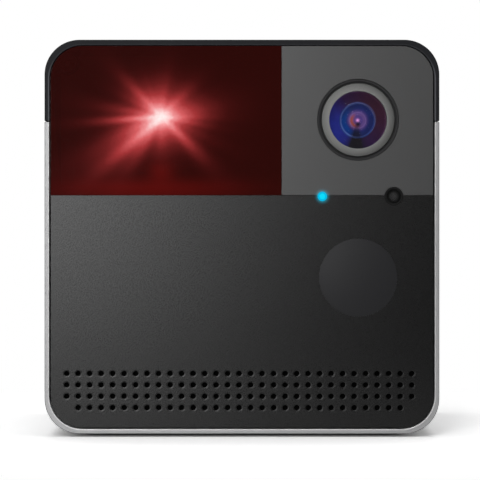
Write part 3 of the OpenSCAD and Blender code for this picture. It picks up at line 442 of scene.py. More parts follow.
def noise(tree, place, grain, detail=2.0, roughness=0.5):
    """Noise whose features are about one grain across, in metres."""
    wave = {"Vector": place, "Scale": 1 / grain, "Detail": detail, "Roughness": roughness}
    return add_node(tree, "ShaderNodeTexNoise", wave).outputs["Fac"]


def bump(tree, height, depth):
    relief = {"Height": height, "Distance": depth, "Strength": 1.0}
    return add_node(tree, "ShaderNodeBump", relief).outputs["Normal"]


def stretched(tree, place, scale):
    return add_node(tree, "ShaderNodeMapping", {"Vector": place, "Scale": scale}).outputs["Vector"]


def front_place(tree, centre):
    """The place across and up from an axis along Y, in millimetres."""
    parts = parts_of(tree, object_place(tree))
    across = calc(tree, "DIVIDE", calc(tree, "SUBTRACT", parts["X"], centre[0]), MM)
    up = calc(tree, "DIVIDE", calc(tree, "SUBTRACT", parts["Z"], centre[1]), MM)
    return vector_of(tree, across, up)


def from_axis(tree, centre):
    """The distance from an axis along Y, in millimetres."""
    return vector_calc(tree, "LENGTH", front_place(tree, centre))


def towards(tree, heading, degrees):
    """How far a heading points the way of an angle, from -1 to 1."""
    a = math.radians(degrees)
    return vector_calc(tree, "DOT_PRODUCT", heading, (math.cos(a), math.sin(a), 0.0))


def bell(tree, value, middle, width):
    """A soft hump: 1 at the middle, falling away on both sides."""
    off = calc(tree, "DIVIDE", calc(tree, "SUBTRACT", value, middle), width)
    return calc(tree, "EXPONENT", calc(tree, "MULTIPLY", calc(tree, "MULTIPLY", off, off), -1.0))


# Finishes

def moulded(name, colour, rough, grain, depth, shine=0.5, tint=0.12):
    """Plastic with a fine moulded texture and faint clouds in its colour and gloss."""
    made, tree, shader = bare_material(name)
    place = object_place(tree)
    clouds = noise(tree, place, 22 * MM, 3.0)
    speckle = noise(tree, place, grain, 3.0, 0.6)
    shade = sum_of(tree, clouds, 0.5, speckle, 0.5)
    plug(tree, shader, {
        "Base Color": ramp(tree, shade, [(0.3, scaled(colour, 1 - tint)), (0.7, scaled(colour, 1 + tint))]),
        "Roughness": uneven(tree, speckle, rough - 0.03, rough + 0.03),
        "Normal": bump(tree, speckle, depth),
        "Specular IOR Level": shine
    })
    return made


def blasted_metal(name, colour, rough, grain, depth, streak=1.0):
    """Metal with a fine blasted or drawn grain; a streak above 1 stretches it along Y."""
    made, tree, shader = bare_material(name)
    place = object_place(tree)
    lie = stretched(tree, place, (1.0, 1.0 / streak, 1.0))
    pits = noise(tree, lie, grain, 3.0, 0.65)
    clouds = noise(tree, place, 12 * MM)
    shade = sum_of(tree, pits, 0.92, clouds, 0.08)
    plug(tree, shader, {
        "Base Color": ramp(tree, shade, [(0.28, scaled(colour, 0.86)), (0.72, scaled(colour, 1.1))]),
        "Roughness": uneven(tree, pits, rough - 0.06, rough + 0.06),
        "Normal": bump(tree, pits, depth),
        "Metallic": 1.0
    })
    return made


def rim_offsets(tree):
    """How far a point lies past the middles of the rim's round inner corners, along X and along Z."""
    rim_foot = shell_foot + wall
    parts = parts_of(tree, object_place(tree))
    level = calc(tree, "SUBTRACT", parts["Z"], (rim_foot + rim_top) / 2)
    aside = calc(tree, "SUBTRACT", calc(tree, "ABSOLUTE", parts["X"]), side_x - wall - rim_r)
    beyond = calc(tree, "SUBTRACT", calc(tree, "ABSOLUTE", level), (rim_top - rim_foot) / 2 - rim_r)
    return aside, beyond


def rim_reach(tree):
    """How far a point is from the middles of the rim's round inner corners."""
    aside, beyond = rim_offsets(tree)
    corner = vector_of(tree, calc(tree, "MAXIMUM", aside, 0.0), calc(tree, "MAXIMUM", beyond, 0.0))
    return vector_calc(tree, "LENGTH", corner)


def repaint(made, share, colour):
    """Mixes a second colour into a finish."""
    base = shader_of(made).inputs["Base Color"]
    mixed = colour_mix(made.node_tree, share, base.links[0].from_socket, colour)
    made.node_tree.links.new(mixed, base)
    return made


def painted_edge_highlight(tree):
    """Where the painted highlight lies: along the inner edge of the housing's rim."""
    return spread(tree, rim_reach(tree), rim_r + 0.2 * wall, rim_r + 0.35 * wall, 1.0, 0.0)


def shell_metal(name):
    made = blasted_metal(name, (0.352, 0.352, 0.356, 1.0), 0.48, 0.22 * MM, 0.006 * MM)
    # The paler grey along the rim's inner edge is a painted highlight.
    return repaint(made, painted_edge_highlight(made.node_tree), grey(0.5))


def cap_plastic(name):
    """Black plastic with a painted highlight along the inner edge, mostly on its two sides."""
    made = moulded(name, (0.0085, 0.009, 0.0115, 1.0), 0.5, 0.18 * MM, 0.003 * MM, 0.14)
    tree = made.node_tree
    beyond = rim_offsets(tree)[1]
    # The painted highlight is full on the two sides and faint along the top.
    sides = spread(tree, beyond, 0.0, 0.6 * rim_r, 1.0, 0.15)
    return repaint(made, calc(tree, "MULTIPLY", painted_edge_highlight(tree), sides), (0.085, 0.086, 0.095, 1.0))


def frame_plastic(name):
    """Black plastic with a paler grey border, painted light that shows in the shaded gap round the panels.
    """
    made = moulded(name, (0.003, 0.003, 0.003, 1.0), 0.7, 0.3 * MM, 0.005 * MM, 0.04)
    tree = made.node_tree
    # Painted light: the border is paler where it shows in the gap.
    painted_gap_light = spread(tree, rim_reach(tree), rim_r - 1.35 * MM, rim_r - 0.75 * MM, 0.0, 1.0)
    return repaint(made, painted_gap_light, grey(0.22))


def ring_turned_metal(name, colour, rough, centre):
    """Metal turned on a lathe: fine rings about an axis, with a slight wander, and painted shade that
    darkens it towards its outer edge.
    """
    made, tree, shader = bare_material(name)
    distance = from_axis(tree, centre)
    wander = noise(tree, object_place(tree), 1.6 * MM)
    ridge = sum_of(tree, distance, 46.0, wander, 2.5)
    rings = calc(tree, "MULTIPLY", calc(tree, "ADD", calc(tree, "SINE", ridge), 1.0), 0.5)
    pits = noise(tree, object_place(tree), 0.22 * MM, 3.0, 0.65)
    shade = sum_of(tree, rings, 0.4, pits, 0.6)
    base = ramp(tree, shade, [(0.25, scaled(colour, 0.85)), (0.75, scaled(colour, 1.12))])
    # Painted shade: darker from the glass out to the outer edge.
    painted_outer_shade = spread(tree, distance, glass_r / MM, bezel_r / MM, 0.0, 1.0)
    plug(tree, shader, {
        "Base Color": colour_mix(tree, painted_outer_shade, base, scaled(colour, 0.5)),
        "Roughness": spread(tree, shade, 0.2, 0.8, rough - 0.05, rough + 0.05),
        "Normal": bump(tree, shade, 0.004 * MM),
        "Metallic": 1.0
    })
    return made


def rubber(name, colour, grain):
    made, tree, shader = bare_material(name)
    crumbs = noise(tree, object_place(tree), grain, 4.0, 0.65)
    plug(tree, shader, {
        "Base Color": ramp(tree, crumbs, [(0.3, scaled(colour, 0.8)), (0.75, scaled(colour, 1.35))]),
        "Roughness": uneven(tree, crumbs, 0.62, 0.8),
        "Normal": bump(tree, crumbs, 0.02 * MM),
        "Specular IOR Level": 0.25
    })
    return made


def woven(name, colour, pitch):
    """Cloth with a plain weave of threads."""
    made, tree, shader = bare_material(name)
    parts = parts_of(tree, object_place(tree))
    turn = math.pi / pitch
    warp = calc(tree, "SINE", calc(tree, "MULTIPLY", parts["X"], turn))
    weft = calc(tree, "SINE", calc(tree, "MULTIPLY", parts["Z"], turn))
    weave = calc(tree, "ABSOLUTE", calc(tree, "MULTIPLY", warp, weft))
    fluff = noise(tree, object_place(tree), pitch / 3, 3.0)
    height = calc(tree, "ADD", weave, calc(tree, "MULTIPLY", fluff, 0.4))
    plug(tree, shader, {
        "Base Color": ramp(tree, height, [(0.1, scaled(colour, 0.4)), (1.0, scaled(colour, 1.4))]),
        "Normal": bump(tree, height, 0.06 * MM),
        "Roughness": 0.9,
        "Specular IOR Level": 0.1
    })
    return made


def circuit(name):
    """Board resin with faint copper tracks under the lacquer."""
    made, tree, shader = bare_material(name)
    place = object_place(tree)
    cells = add_node(
        tree, "ShaderNodeTexVoronoi", {"Vector": place, "Scale": 1 / (2.4 * MM)},
        distance="MANHATTAN", feature="F1"
    ).outputs["Distance"]
    tracks = calc(tree, "PINGPONG", calc(tree, "MULTIPLY", cells, 6.0), 1.0)
    fibres = noise(tree, place, 0.5 * MM)
    height = sum_of(tree, tracks, 0.7, fibres, 0.3)
    greens = [(0.35, (0.006, 0.05, 0.022, 1.0)), (0.6, (0.014, 0.11, 0.048, 1.0))]
    plug(tree, shader, {
        "Base Color": ramp(tree, height, greens),
        "Roughness": uneven(tree, fibres, 0.28, 0.42),
        "Normal": bump(tree, tracks, 0.01 * MM)
    })
    return made


def clear_glass(name, tint, bend=1.45):
    made, tree, shader = bare_material(name)
    haze = noise(tree, object_place(tree), 3 * MM)
    plug(tree, shader, {
        "Base Color": ramp(tree, haze, [(0.3, scaled(tint, 0.97)), (0.7, tint)]),
        "Roughness": uneven(tree, haze, 0.005, 0.02),
        "Transmission Weight": 1.0,
        "IOR": bend
    })
    return made


def let_lamps_through(made, tint):
    """Lets lamp light through a pane, so that what is behind it is lit."""
    tree = made.node_tree
    output = next(n for n in tree.nodes if n.type == "OUTPUT_MATERIAL")
    way = tree.nodes.new("ShaderNodeLightPath").outputs["Is Shadow Ray"]
    pane = add_node(tree, "ShaderNodeBsdfTransparent", {"Color": tint}).outputs["BSDF"]
    both = add_node(tree, "ShaderNodeMixShader", {0: way, 1: shader_of(made).outputs["BSDF"], 2: pane})
    tree.links.new(both.outputs["Shader"], output.inputs["Surface"])
    return made


# The red window, with the laser's star painted on as a glow

STAR_AT = (-20.55 * MM, 82.38 * MM)
RAY_ROOT = 0.43
# Angle in degrees, spread for each millimetre of length, reach in millimetres and strength of each ray
STAR_RAYS = [
    (184, 0.05, 11, 0.85), (171, 0.1, 11, 0.4), (151, 0.1, 8, 0.35), (135, 0.11, 9, 0.6),
    (116, 0.14, 6, 0.4), (96, 0.12, 6, 0.25), (83, 0.1, 8, 0.15), (60, 0.12, 5, 0.15),
    (45, 0.14, 7, 0.4), (27, 0.1, 8, 0.15), (8, 0.22, 10, 0.5), (-1, 0.04, 8, 0.25),
    (-11, 0.05, 8, 0.35), (-24, 0.11, 11, 0.15), (-45, 0.12, 10, 0.6), (-64, 0.11, 5, 0.2),
    (-93, 0.22, 6, 0.35), (-126, 0.15, 11, 0.6), (-140, 0.1, 13, 1.0), (-152, 0.12, 16, 0.35),
    (-162, 0.15, 9, 0.65)
]
# Strength and radius in millimetres of the glow about the point
STAR_GLOW = [(0.85, 1.8), (0.62, 3.4), (0.36, 7.6)]
STAR_COLOURS = [
    (0.0, seen(40, 11, 9)), (0.05, seen(62, 17, 16)), (0.15, seen(104, 32, 32)),
    (0.3, seen(161, 55, 57)), (0.5, seen(214, 99, 102)), (0.7, seen(240, 156, 158)),
    (0.9, seen(250, 223, 222)), (1.0, seen(253, 248, 246))
]
# Colour of the painted glow of the laser's light below the star.
PAINTED_SHELF_RED = (0.062, 0.0012, 0.001, 1.0)


def ray_group():
    """One ray of the star: widening along its direction and fading with distance."""
    tree = bpy.data.node_groups.new("laser_ray", "ShaderNodeTree")
    inputs = (
        ("Place", "NodeSocketVector"), ("Direction", "NodeSocketVector"), ("Spread", "NodeSocketFloat"),
        ("Reach", "NodeSocketFloat"), ("Strength", "NodeSocketFloat")
    )
    for label, kind in inputs:
        tree.interface.new_socket(label, in_out="INPUT", socket_type=kind)
    tree.interface.new_socket("Light", in_out="OUTPUT", socket_type="NodeSocketFloat")
    given = tree.nodes.new("NodeGroupInput").outputs
    along = vector_calc(tree, "DOT_PRODUCT", given["Place"], given["Direction"])
    across = vector_calc(tree, "CROSS_PRODUCT", given["Place"], given["Direction"])
    aside = vector_calc(tree, "LENGTH", across)
    ahead = calc(tree, "MAXIMUM", along, 0.0)
    width = calc(tree, "ADD", calc(tree, "MULTIPLY", ahead, given["Spread"]), RAY_ROOT)
    fan = bell(tree, calc(tree, "DIVIDE", aside, width), 0.0, 1.0)
    run = calc(tree, "POWER", calc(tree, "DIVIDE", ahead, given["Reach"]), 1.6)
    fade = calc(tree, "EXPONENT", calc(tree, "MULTIPLY", run, -1.0))
    forward = calc(tree, "ADD", along, 0.5, clamp=True)
    beam = calc(tree, "MULTIPLY", calc(tree, "MULTIPLY", fan, fade), forward)
    add_node(tree, "NodeGroupOutput", {"Light": calc(tree, "MULTIPLY", beam, given["Strength"])})
    return tree


def star_light(tree):
    """The brightness of the laser's star, painted over the window as a glow, from 0 to 1."""
    place = front_place(tree, STAR_AT)
    distance = vector_calc(tree, "LENGTH", place)
    total = 0.0
    for strength, radius in STAR_GLOW:
        glow = calc(tree, "MULTIPLY", bell(tree, distance, 0.0, radius), strength)
        total = calc(tree, "ADD", total, glow)
    one_ray = ray_group()
    for angle, widening, reach, strength in STAR_RAYS:
        a = math.radians(angle)
        ray = add_node(tree, "ShaderNodeGroup", {
            "Place": place, "Direction": (math.cos(a), math.sin(a), 0.0),
            "Spread": widening, "Reach": reach, "Strength": strength
        }, node_tree=one_ray)
        total = calc(tree, "ADD", total, ray.outputs["Light"])
    left = calc(tree, "EXPONENT", calc(tree, "MULTIPLY", total, -1.0))
    return calc(tree, "SUBTRACT", 1.0, left, clamp=True)


def painted_shelf_glow(tree):
    """The laser's light on the shelf below it, painted as a glow on the window and brightest along the
    window's lower edge.
    """
    parts = parts_of(tree, front_place(tree, STAR_AT))
    shelf = calc(tree, "MULTIPLY", bell(tree, parts["Y"], -18.6, 2.6), bell(tree, parts["X"], -3.5, 21.0))
    peak = calc(tree, "MULTIPLY", bell(tree, parts["Y"], -14.2, 2.6), bell(tree, parts["X"], -0.3, 3.2))
    return calc(tree, "ADD", shelf, calc(tree, "MULTIPLY", peak, 0.8))


def red_window(name):
    made, tree, shader = bare_material(name)
    dust = noise(tree, object_place(tree), 0.9 * MM, 4.0, 0.7)
    light = calc(tree, "MULTIPLY", star_light(tree), uneven(tree, dust, 0.95, 1.05), clamp=True)
    star = ramp(tree, light, STAR_COLOURS)
    reds = [(0.3, (0.02, 0.0015, 0.0015, 1.0)), (0.7, (0.03, 0.002, 0.002, 1.0))]
    # The star and the laser's light below it are painted into the window's glow.
    plug(tree, shader, {
        "Emission Color": colour_mix(tree, painted_shelf_glow(tree), star, PAINTED_SHELF_RED, "ADD"),
        "Emission Strength": 0.9,
        "Base Color": ramp(tree, dust, reds),
        "Roughness": uneven(tree, dust, 0.1, 0.14),
        "Transmission Weight": 0.85,
        "IOR": 1.02,
        "Specular IOR Level": 0.02
    })
    return made


# The front panels, with the indicator's light spilling on to them

INDICATOR = seen(11, 219, 250)
SPILL_R = 1.0
SPILL_WIDTH = 0.62
SPILL_STRENGTH = 0.26


def front_panel(name, colour, rough, shine):
    """Satin panel with a fine texture, lit blue where it meets the indicator."""
    made = moulded(name, colour, rough, 0.16 * MM, 0.00045 * MM, shine, 0.05)
    tree = made.node_tree
    halo = bell(tree, from_axis(tree, light_at), SPILL_R, SPILL_WIDTH)
    plug(tree, shader_of(made), {
        "Emission Strength": calc(tree, "MULTIPLY", halo, SPILL_STRENGTH),
        "Emission Color": INDICATOR
    })
    return made


def lit_pipe(name):
    """Clear plastic rod, lit blue from behind and frosted at its face."""
    made, tree, shader = bare_material(name)
    frost = noise(tree, object_place(tree), 0.25 * MM, 3.0)
    level = sum_of(tree, from_axis(tree, light_at), 1.0, frost, 0.3)
    blues = [(0.0, seen(14, 220, 251)), (0.8, seen(8, 217, 249)), (1.0, seen(4, 180, 225))]
    plug(tree, shader, {
        "Emission Color": ramp(tree, level, blues),
        "Emission Strength": 1.0,
        "Base Color": (0.0, 0.01, 0.015, 1.0),
        "Specular IOR Level": 0.02,
        "Roughness": uneven(tree, frost, 0.4, 0.5)
    })
    return made


# The lens: painted reflections of coloured coatings, partly glowing, on its barrel and on the glass behind
# the front one

WEDGE_ANGLE = 265
WEDGE_SHARP = (28.0, 20.0)
PAINTED_REFLECTION_GLOW = 0.5
HIGHLIGHT_RING_R = 4.4
HIGHLIGHT_RING_WIDTH = 0.18
COAT_R = 4.6
EYE_SHADE_AT = (0.1, -1.05, 0.0)
BARREL_SHIFT = 0.24 * MM
GLASS_SHIFT = 0.17 * MM


def off_axis(shift):
    """A place beside the lens's axis, about which the painted reflections lie."""
    return (lens_at[0] + shift, lens_at[1] + shift)


def dark_wedge(tree, heading, distance):
    """The shadow that points down from the middle of the lens and widens."""
    off = calc(tree, "SUBTRACT", towards(tree, heading, WEDGE_ANGLE), 1.0)
    sharp = spread(tree, distance, 2.8, 6.0, *WEDGE_SHARP)
    fan = calc(tree, "EXPONENT", calc(tree, "MULTIPLY", off, sharp))
    return calc(tree, "MULTIPLY", fan, 1.6, clamp=True)


def painted_ring_highlight(tree, distance, painted_light_side, wedge):
    """The painted highlight ring at a coating's edge, dimmed in the wedge."""
    lit = calc(tree, "MULTIPLY", painted_light_side, spread(tree, wedge, 0.0, 1.0, 1.0, 0.3))
    return calc(tree, "MULTIPLY", bell(tree, distance, HIGHLIGHT_RING_R, HIGHLIGHT_RING_WIDTH), lit)


def coat(tree, shader, colour, level, rough):
    """Gives a surface painted reflections in a coating's colours, part of them as a glow."""
    swirl = noise(tree, object_place(tree), 1.5 * MM)
    toned = colour_mix(tree, 1.0, colour, grey(level), "MULTIPLY")
    mottled = colour_mix(tree, uneven(tree, swirl, 0.0, 0.16), toned, grey(0.008))
    plug(tree, shader, {
        "Base Color": colour_mix(tree, 1.0, mottled, grey(1 - PAINTED_REFLECTION_GLOW), "MULTIPLY"),
        "Emission Color": mottled,
        "Emission Strength": PAINTED_REFLECTION_GLOW,
        "Roughness": uneven(tree, swirl, rough - 0.04, rough + 0.04),
        "Specular IOR Level": 0.005
    })


def barrel_painted_reflections(name):
    """Painted reflections in plum and blue on the barrel, with a painted highlight ring at the glass."""
    made, tree, shader = bare_material(name)
    place = front_place(tree, off_axis(BARREL_SHIFT))
    heading = vector_calc(tree, "NORMALIZE", place)
    distance = vector_calc(tree, "LENGTH", place)
    blue_side = spread(tree, towards(tree, heading, 205), 0.15, 0.95, 0.0, 1.0)
    red_side = spread(tree, towards(tree, heading, 30), 0.0, 1.0, 0.0, 1.0)
    plum = colour_mix(tree, red_side, seen(46, 30, 58), seen(54, 31, 43))
    sheen = colour_mix(tree, blue_side, plum, seen(38, 44, 116))
    # Painted light: the side where the painted reflections and highlight are brightest.
    painted_light_side = spread(tree, towards(tree, heading, 195), -1.0, 1.0, 0.25, 0.8)
    wedge = dark_wedge(tree, heading, distance)
    shaded = colour_mix(tree, wedge, sheen, seen(32, 30, 33))
    rim = painted_ring_highlight(tree, distance, painted_light_side, wedge)
    coat(tree, shader, colour_mix(tree, rim, shaded, seen(88, 110, 165)), 1.45, 0.38)
    return made


def coated_glass(name):
    """The dark glass behind the front one, with painted reflections of blue, violet and orange coatings in
    rings.
    """
    made, tree, shader = bare_material(name)
    place = front_place(tree, off_axis(GLASS_SHIFT))
    heading = vector_calc(tree, "NORMALIZE", place)
    distance = vector_calc(tree, "LENGTH", place)
    ground = ramp(tree, calc(tree, "DIVIDE", distance, COAT_R), [
        (0.0, seen(110, 70, 122)), (0.18, seen(72, 54, 110)), (0.26, seen(70, 54, 110)),
        (0.34, seen(90, 66, 114)), (0.46, seen(84, 66, 112)), (0.58, seen(54, 47, 100)),
        (0.68, seen(32, 40, 86)), (1.0, seen(30, 37, 80))
    ])
    blue_side = spread(tree, towards(tree, heading, 195), 0.2, 0.95, 0.0, 1.0)
    deep = calc(tree, "MULTIPLY", blue_side, spread(tree, distance, 2.6, 3.2, 0.0, 1.0))
    blued = colour_mix(tree, deep, ground, seen(18, 52, 112))
    painted_light_side = spread(tree, towards(tree, heading, 200), -0.1, 0.8, 0.0, 1.0)
    # A painted orange reflection on the bright side.
    crescent = calc(tree, "MULTIPLY", bell(tree, distance, 1.6, 0.5), painted_light_side)
    warm = colour_mix(tree, crescent, blued, seen(140, 66, 54))
    halo = calc(tree, "MULTIPLY", bell(tree, distance, 2.1, 0.14), 0.45)
    ringed = colour_mix(tree, halo, warm, seen(118, 92, 140))
    # A painted shadow spot below the middle, then a painted highlight in the middle.
    below = vector_calc(tree, "DISTANCE", place, EYE_SHADE_AT)
    eyed = colour_mix(tree, bell(tree, below, 0.0, 0.6), ringed, seen(22, 12, 16))
    lit = colour_mix(tree, bell(tree, distance, 0.0, 0.36), eyed, seen(236, 160, 208))
    wedge = dark_wedge(tree, heading, distance)
    fades = calc(tree, "MULTIPLY", wedge, spread(tree, distance, 0.6, 3.4, 0.2, 1.0))
    shaded = colour_mix(tree, fades, lit, seen(30, 31, 48))
    edge = painted_ring_highlight(tree, distance, spread(tree, painted_light_side, 0.0, 1.0, 0.3, 0.85), wedge)
    coat(tree, shader, colour_mix(tree, edge, shaded, seen(84, 104, 160)), 1.0, 0.26)
    return made


def front_glass(name):
    made = clear_glass(name, (0.94, 0.95, 1.0, 1.0), 1.03)
    plug(made.node_tree, shader_of(made), {"Coat Weight": 0.03, "Coat Roughness": 0.12, "Coat IOR": 1.3})
    return let_lamps_through(made, (0.9, 0.9, 0.95, 1.0))


def port_metal_with_painted_shade(name):
    """Dark metal wire, with painted shade darkening it towards the rim of the port."""
    made, tree, shader = bare_material(name)
    pits = noise(tree, object_place(tree), 0.2 * MM, 3.0)
    level = sum_of(tree, from_axis(tree, port_at), 1.0, calc(tree, "SUBTRACT", pits, 0.5), 0.3)
    painted_rim_shade_tones = [(0.0, grey(0.09)), (0.4, grey(0.07)), (0.85, grey(0.01))]
    plug(tree, shader, {
        "Base Color": ramp(tree, calc(tree, "DIVIDE", level, 1.75), painted_rim_shade_tones),
        "Roughness": uneven(tree, pits, 0.45, 0.55),
        "Metallic": 0.7,
        "Specular IOR Level": 0.1
    })
    return made


def lit_lens(name):
    """The laser's own lens, glowing red."""
    made, tree, shader = bare_material(name)
    grain = noise(tree, object_place(tree), 0.3 * MM)
    reds = [(0.0, (1.0, 0.05, 0.05, 1.0)), (1.0, (1.0, 0.3, 0.28, 1.0))]
    plug(tree, shader, {
        "Emission Color": ramp(tree, uneven(tree, grain, 0.2, 0.8), reds),
        "Emission Strength": 3.0,
        "Base Color": (0.4, 0.02, 0.02, 1.0),
        "Roughness": 0.1
    })
    return made


finishes = {
    "shell_aluminium": shell_metal("satin_aluminium"),
    "cap_plastic": cap_plastic("cap_black"),
    "frame_plastic": frame_plastic("frame_black"),
    "rear_plastic": moulded("rear_black", (0.02, 0.02, 0.022, 1.0), 0.5, 0.35 * MM, 0.01 * MM, 0.4),
    "window_red": red_window("red_window"),
    "camera_panel_grey": front_panel("camera_panel_grey", (0.04, 0.04, 0.0404, 1.0), 0.33, 0.52),
    "speaker_panel_black": front_panel("speaker_panel_black", (0.001, 0.001, 0.0011, 1.0), 0.272, 0.345),
    "motion_plastic": moulded(
        "motion_black", (0.019, 0.019, 0.0206, 1.0), 0.4, 0.2 * MM, 0.0015 * MM, 0.14, 0.06
    ),
    "grille_fabric": woven("grille_cloth", (0.002, 0.002, 0.002, 1.0), 0.35 * MM),
    "foot_rubber": rubber("foot_rubber", (0.012, 0.012, 0.012, 1.0), 0.35 * MM),
    "seal_rubber": rubber("seal_rubber", (0.024, 0.024, 0.025, 1.0), 0.25 * MM),
    "bezel_metal": ring_turned_metal("bezel_metal", (0.19, 0.191, 0.187, 1.0), 0.5, lens_at),
    "barrel_metal": barrel_painted_reflections("lens_barrel_coating"),
    "lens_glass": clear_glass("lens_glass", (0.9, 0.95, 1.0, 1.0)),
    "pipe_glass": lit_pipe("lit_pipe"),
    "led_white": moulded("led_white", (0.8, 0.8, 0.74, 1.0), 0.35, 0.2 * MM, 0.002 * MM),
    "steel": blasted_metal("steel", (0.5, 0.5, 0.51, 1.0), 0.34, 0.3 * MM, 0.002 * MM, 6.0),
    "brass": blasted_metal("brass", (0.72, 0.5, 0.2, 1.0), 0.3, 0.3 * MM, 0.002 * MM, 4.0),
    "cast_alloy": blasted_metal("cast_alloy", (0.42, 0.42, 0.43, 1.0), 0.5, 0.5 * MM, 0.012 * MM),
    "gear_plastic": moulded("gear_white", (0.72, 0.71, 0.66, 1.0), 0.4, 0.3 * MM, 0.003 * MM),
    "board_resin": circuit("board_green"),
    "chip_black": moulded("chip_black", (0.014, 0.014, 0.015, 1.0), 0.55, 0.3 * MM, 0.006 * MM),
    "sensor_silicon": blasted_metal("sensor_silicon", (0.25, 0.2, 0.3, 1.0), 0.25, 0.4 * MM, 0.001 * MM),
    "plug_plastic": moulded("plug_white", (0.62, 0.6, 0.52, 1.0), 0.45, 0.4 * MM, 0.004 * MM),
    "ribbon_film": moulded("ribbon_film", (0.6, 0.42, 0.14, 1.0), 0.35, 0.6 * MM, 0.002 * MM),
    "lead_jacket": moulded("lead_black", (0.02, 0.02, 0.02, 1.0), 0.5, 0.4 * MM, 0.004 * MM),
    "cone_paper": woven("cone_paper", (0.03, 0.03, 0.03, 1.0), 0.6 * MM),
    "button_plastic": moulded("button_grey", (0.3, 0.3, 0.31, 1.0), 0.4, 0.2 * MM, 0.003 * MM)
}
special_finishes = {
    "lens_front_glass": front_glass("front_glass"),
    "lens_middle_glass": coated_glass("coated_glass"),
    "microphone_boot": rubber("port_rubber", (0.0035, 0.0035, 0.0035, 1.0), 0.25 * MM),
    "microphone_mesh": port_metal_with_painted_shade("port_gauze"),
    "laser_lens": lit_lens("laser_lens_lit")
}


def finish_for(node):
    return special_finishes.get(node, finishes[slot_of[node]])


def fit(obj, node):
    """Gives a piece the finish of the solid that it stands for, puts it on that solid's body and hides the
    solid.
    """
    obj.data.materials.clear()
    obj.data.materials.append(finish_for(node))
    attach(obj, body_of[node])
    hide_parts(node)
    return obj


def fit_evenly(obj, node):
    even_shading(obj)
    return fit(settle(obj), node)


def fit_turned(name, node, path, at, steps, turn, ring=False):
    """A turned piece for a solid, with edges kept sharp where they turn by more than this many degrees."""
    return fit(crisp(turned(name, path, at, steps, ring), turn), node)


# Housing

def round_lower(margin, r, z_end):
    """The sides and lower corners of the housing, drawn in by a margin, from right to left."""
    centre_x = side_x - margin - r
    centre_z = shell_foot + margin + r
    right = quarter((centre_x, centre_z), r, 0)
    left = quarter((-centre_x, centre_z), r, -90)
    return [(side_x - margin, z_end)] + right + left + [(margin - side_x, z_end)]


def round_upper(margin, r, top, z_end):
    """The sides and upper corners of the housing, drawn in by a margin, from left to right."""
    centre_x = side_x - margin - r
    left = quarter((-centre_x, top - r), r, 180)
    right = quarter((centre_x, top - r), r, 90)
    return [(margin - side_x, z_end)] + left + right + [(side_x - margin, z_end)]


RIM_EASE = 0.2 * MM
BORE_EASE = 0.01 * MM
BORE_MARGIN = wall + BORE_EASE
BORE_R = corner_r - BORE_MARGIN
TONGUE = 1.2 * MM
TONGUE_RISE = 3.0 * MM
RAIL_Z = 35.8 * MM
RAIL = 1.6 * MM
INSERT_BORE = 5.03 * MM
INSERT_CUT = 6 * MM


def add_side_bars(obj, thick, z_low, z_high):
    """Adds a bar inside each side wall, as separate shells of the mesh."""
    inside = side_x - wall
    bm = bmesh.new()
    bm.from_mesh(obj.data)
    for near, far in ((inside - thick, inside), (-inside, thick - inside)):
        block(bm, (near, frame_back, z_low), (far, cover_front, z_high))
    bm.to_mesh(obj.data)
    bm.free()


def bore_out(obj, outline):
    """Rounds the edges of a housing part, then widens it behind its rim."""
    round_edges(obj, RIM_EASE)
    return cut(obj, slab("bore_cutter", outline, rim_inner_back, rim_back + MM))


def make_shell():
    outer = round_lower(0.0, corner_r, shell_top)
    inner = round_lower(wall, rim_r, shell_top)
    obj = slab("shell", outer + list(reversed(inner)), rim_front, rim_back)
    bore_out(obj, round_lower(BORE_MARGIN, BORE_R, shell_top + MM))
    bm = bmesh.new()
    bmesh.ops.create_cone(
        bm, segments=64, radius1=INSERT_BORE, radius2=INSERT_BORE, depth=INSERT_CUT, cap_ends=True
    )
    bmesh.ops.translate(bm, verts=bm.verts, vec=(0.0, 0.0, shell_foot))
    cut(obj, piece_from(bm, "insert_cutter"))
    add_side_bars(obj, RAIL, RAIL_Z - RAIL / 2, RAIL_Z + RAIL / 2)
    return fit_evenly(obj, "body_shell")


def make_cap():
    outer = round_upper(0.0, corner_r, cap_top, cap_foot)
    inner = round_upper(wall, rim_r, rim_top, cap_foot)
    obj = slab("cap", outer + list(reversed(inner)), rim_front, rim_back)
    bore_out(obj, round_upper(BORE_MARGIN, BORE_R, cap_top - BORE_MARGIN, cap_foot - MM))
    seam = (shell_top + cap_foot) / 2
    add_side_bars(obj, TONGUE, seam - TONGUE_RISE, seam + TONGUE_RISE)
    return fit_evenly(obj, "top_cap")


make_shell()
make_cap()


# Front panels

PANEL_EASE = 0.05 * MM
HALF_SEAM = 0.025 * MM
DISC_GAP = 0.01 * MM
seam_x = (window_high[0] + camera_low[0]) / 2
seam_z = (camera_low[2] + speaker_high[2]) / 2
upper_foot = seam_z + HALF_SEAM
lower_top = seam_z - HALF_SEAM


def notch(at, r, edge_z, above):
    """Points of a round notch in a panel's edge, to the right above the seam and to the left below it."""
    lift = math.asin((edge_z - at[1]) / r)
    if above:
        return arc(at, r, math.pi - lift, lift)
    return arc(at, r, lift, -math.pi - lift)


def drill_through(obj, at, r):
    """Cuts a round hole through a panel."""
    front = panel_front - MM
    back = panel_back + MM
    path = [(0.0, front), (r, front), (r, back), (0.0, back)]
    return cut(obj, turned("round_cutter", path, at, steps=96))


def make_window():
    corner = quarter((window_low[0] + panel_r, window_high[2] - panel_r), panel_r, 180)
    inner = seam_x - HALF_SEAM
    rest = [(inner, window_high[2]), (inner, upper_foot), (window_low[0], upper_foot)]
    obj = slab("window", corner + rest, panel_front, panel_back)
    round_edges(obj, PANEL_EASE)
    return fit_evenly(obj, "laser_window")


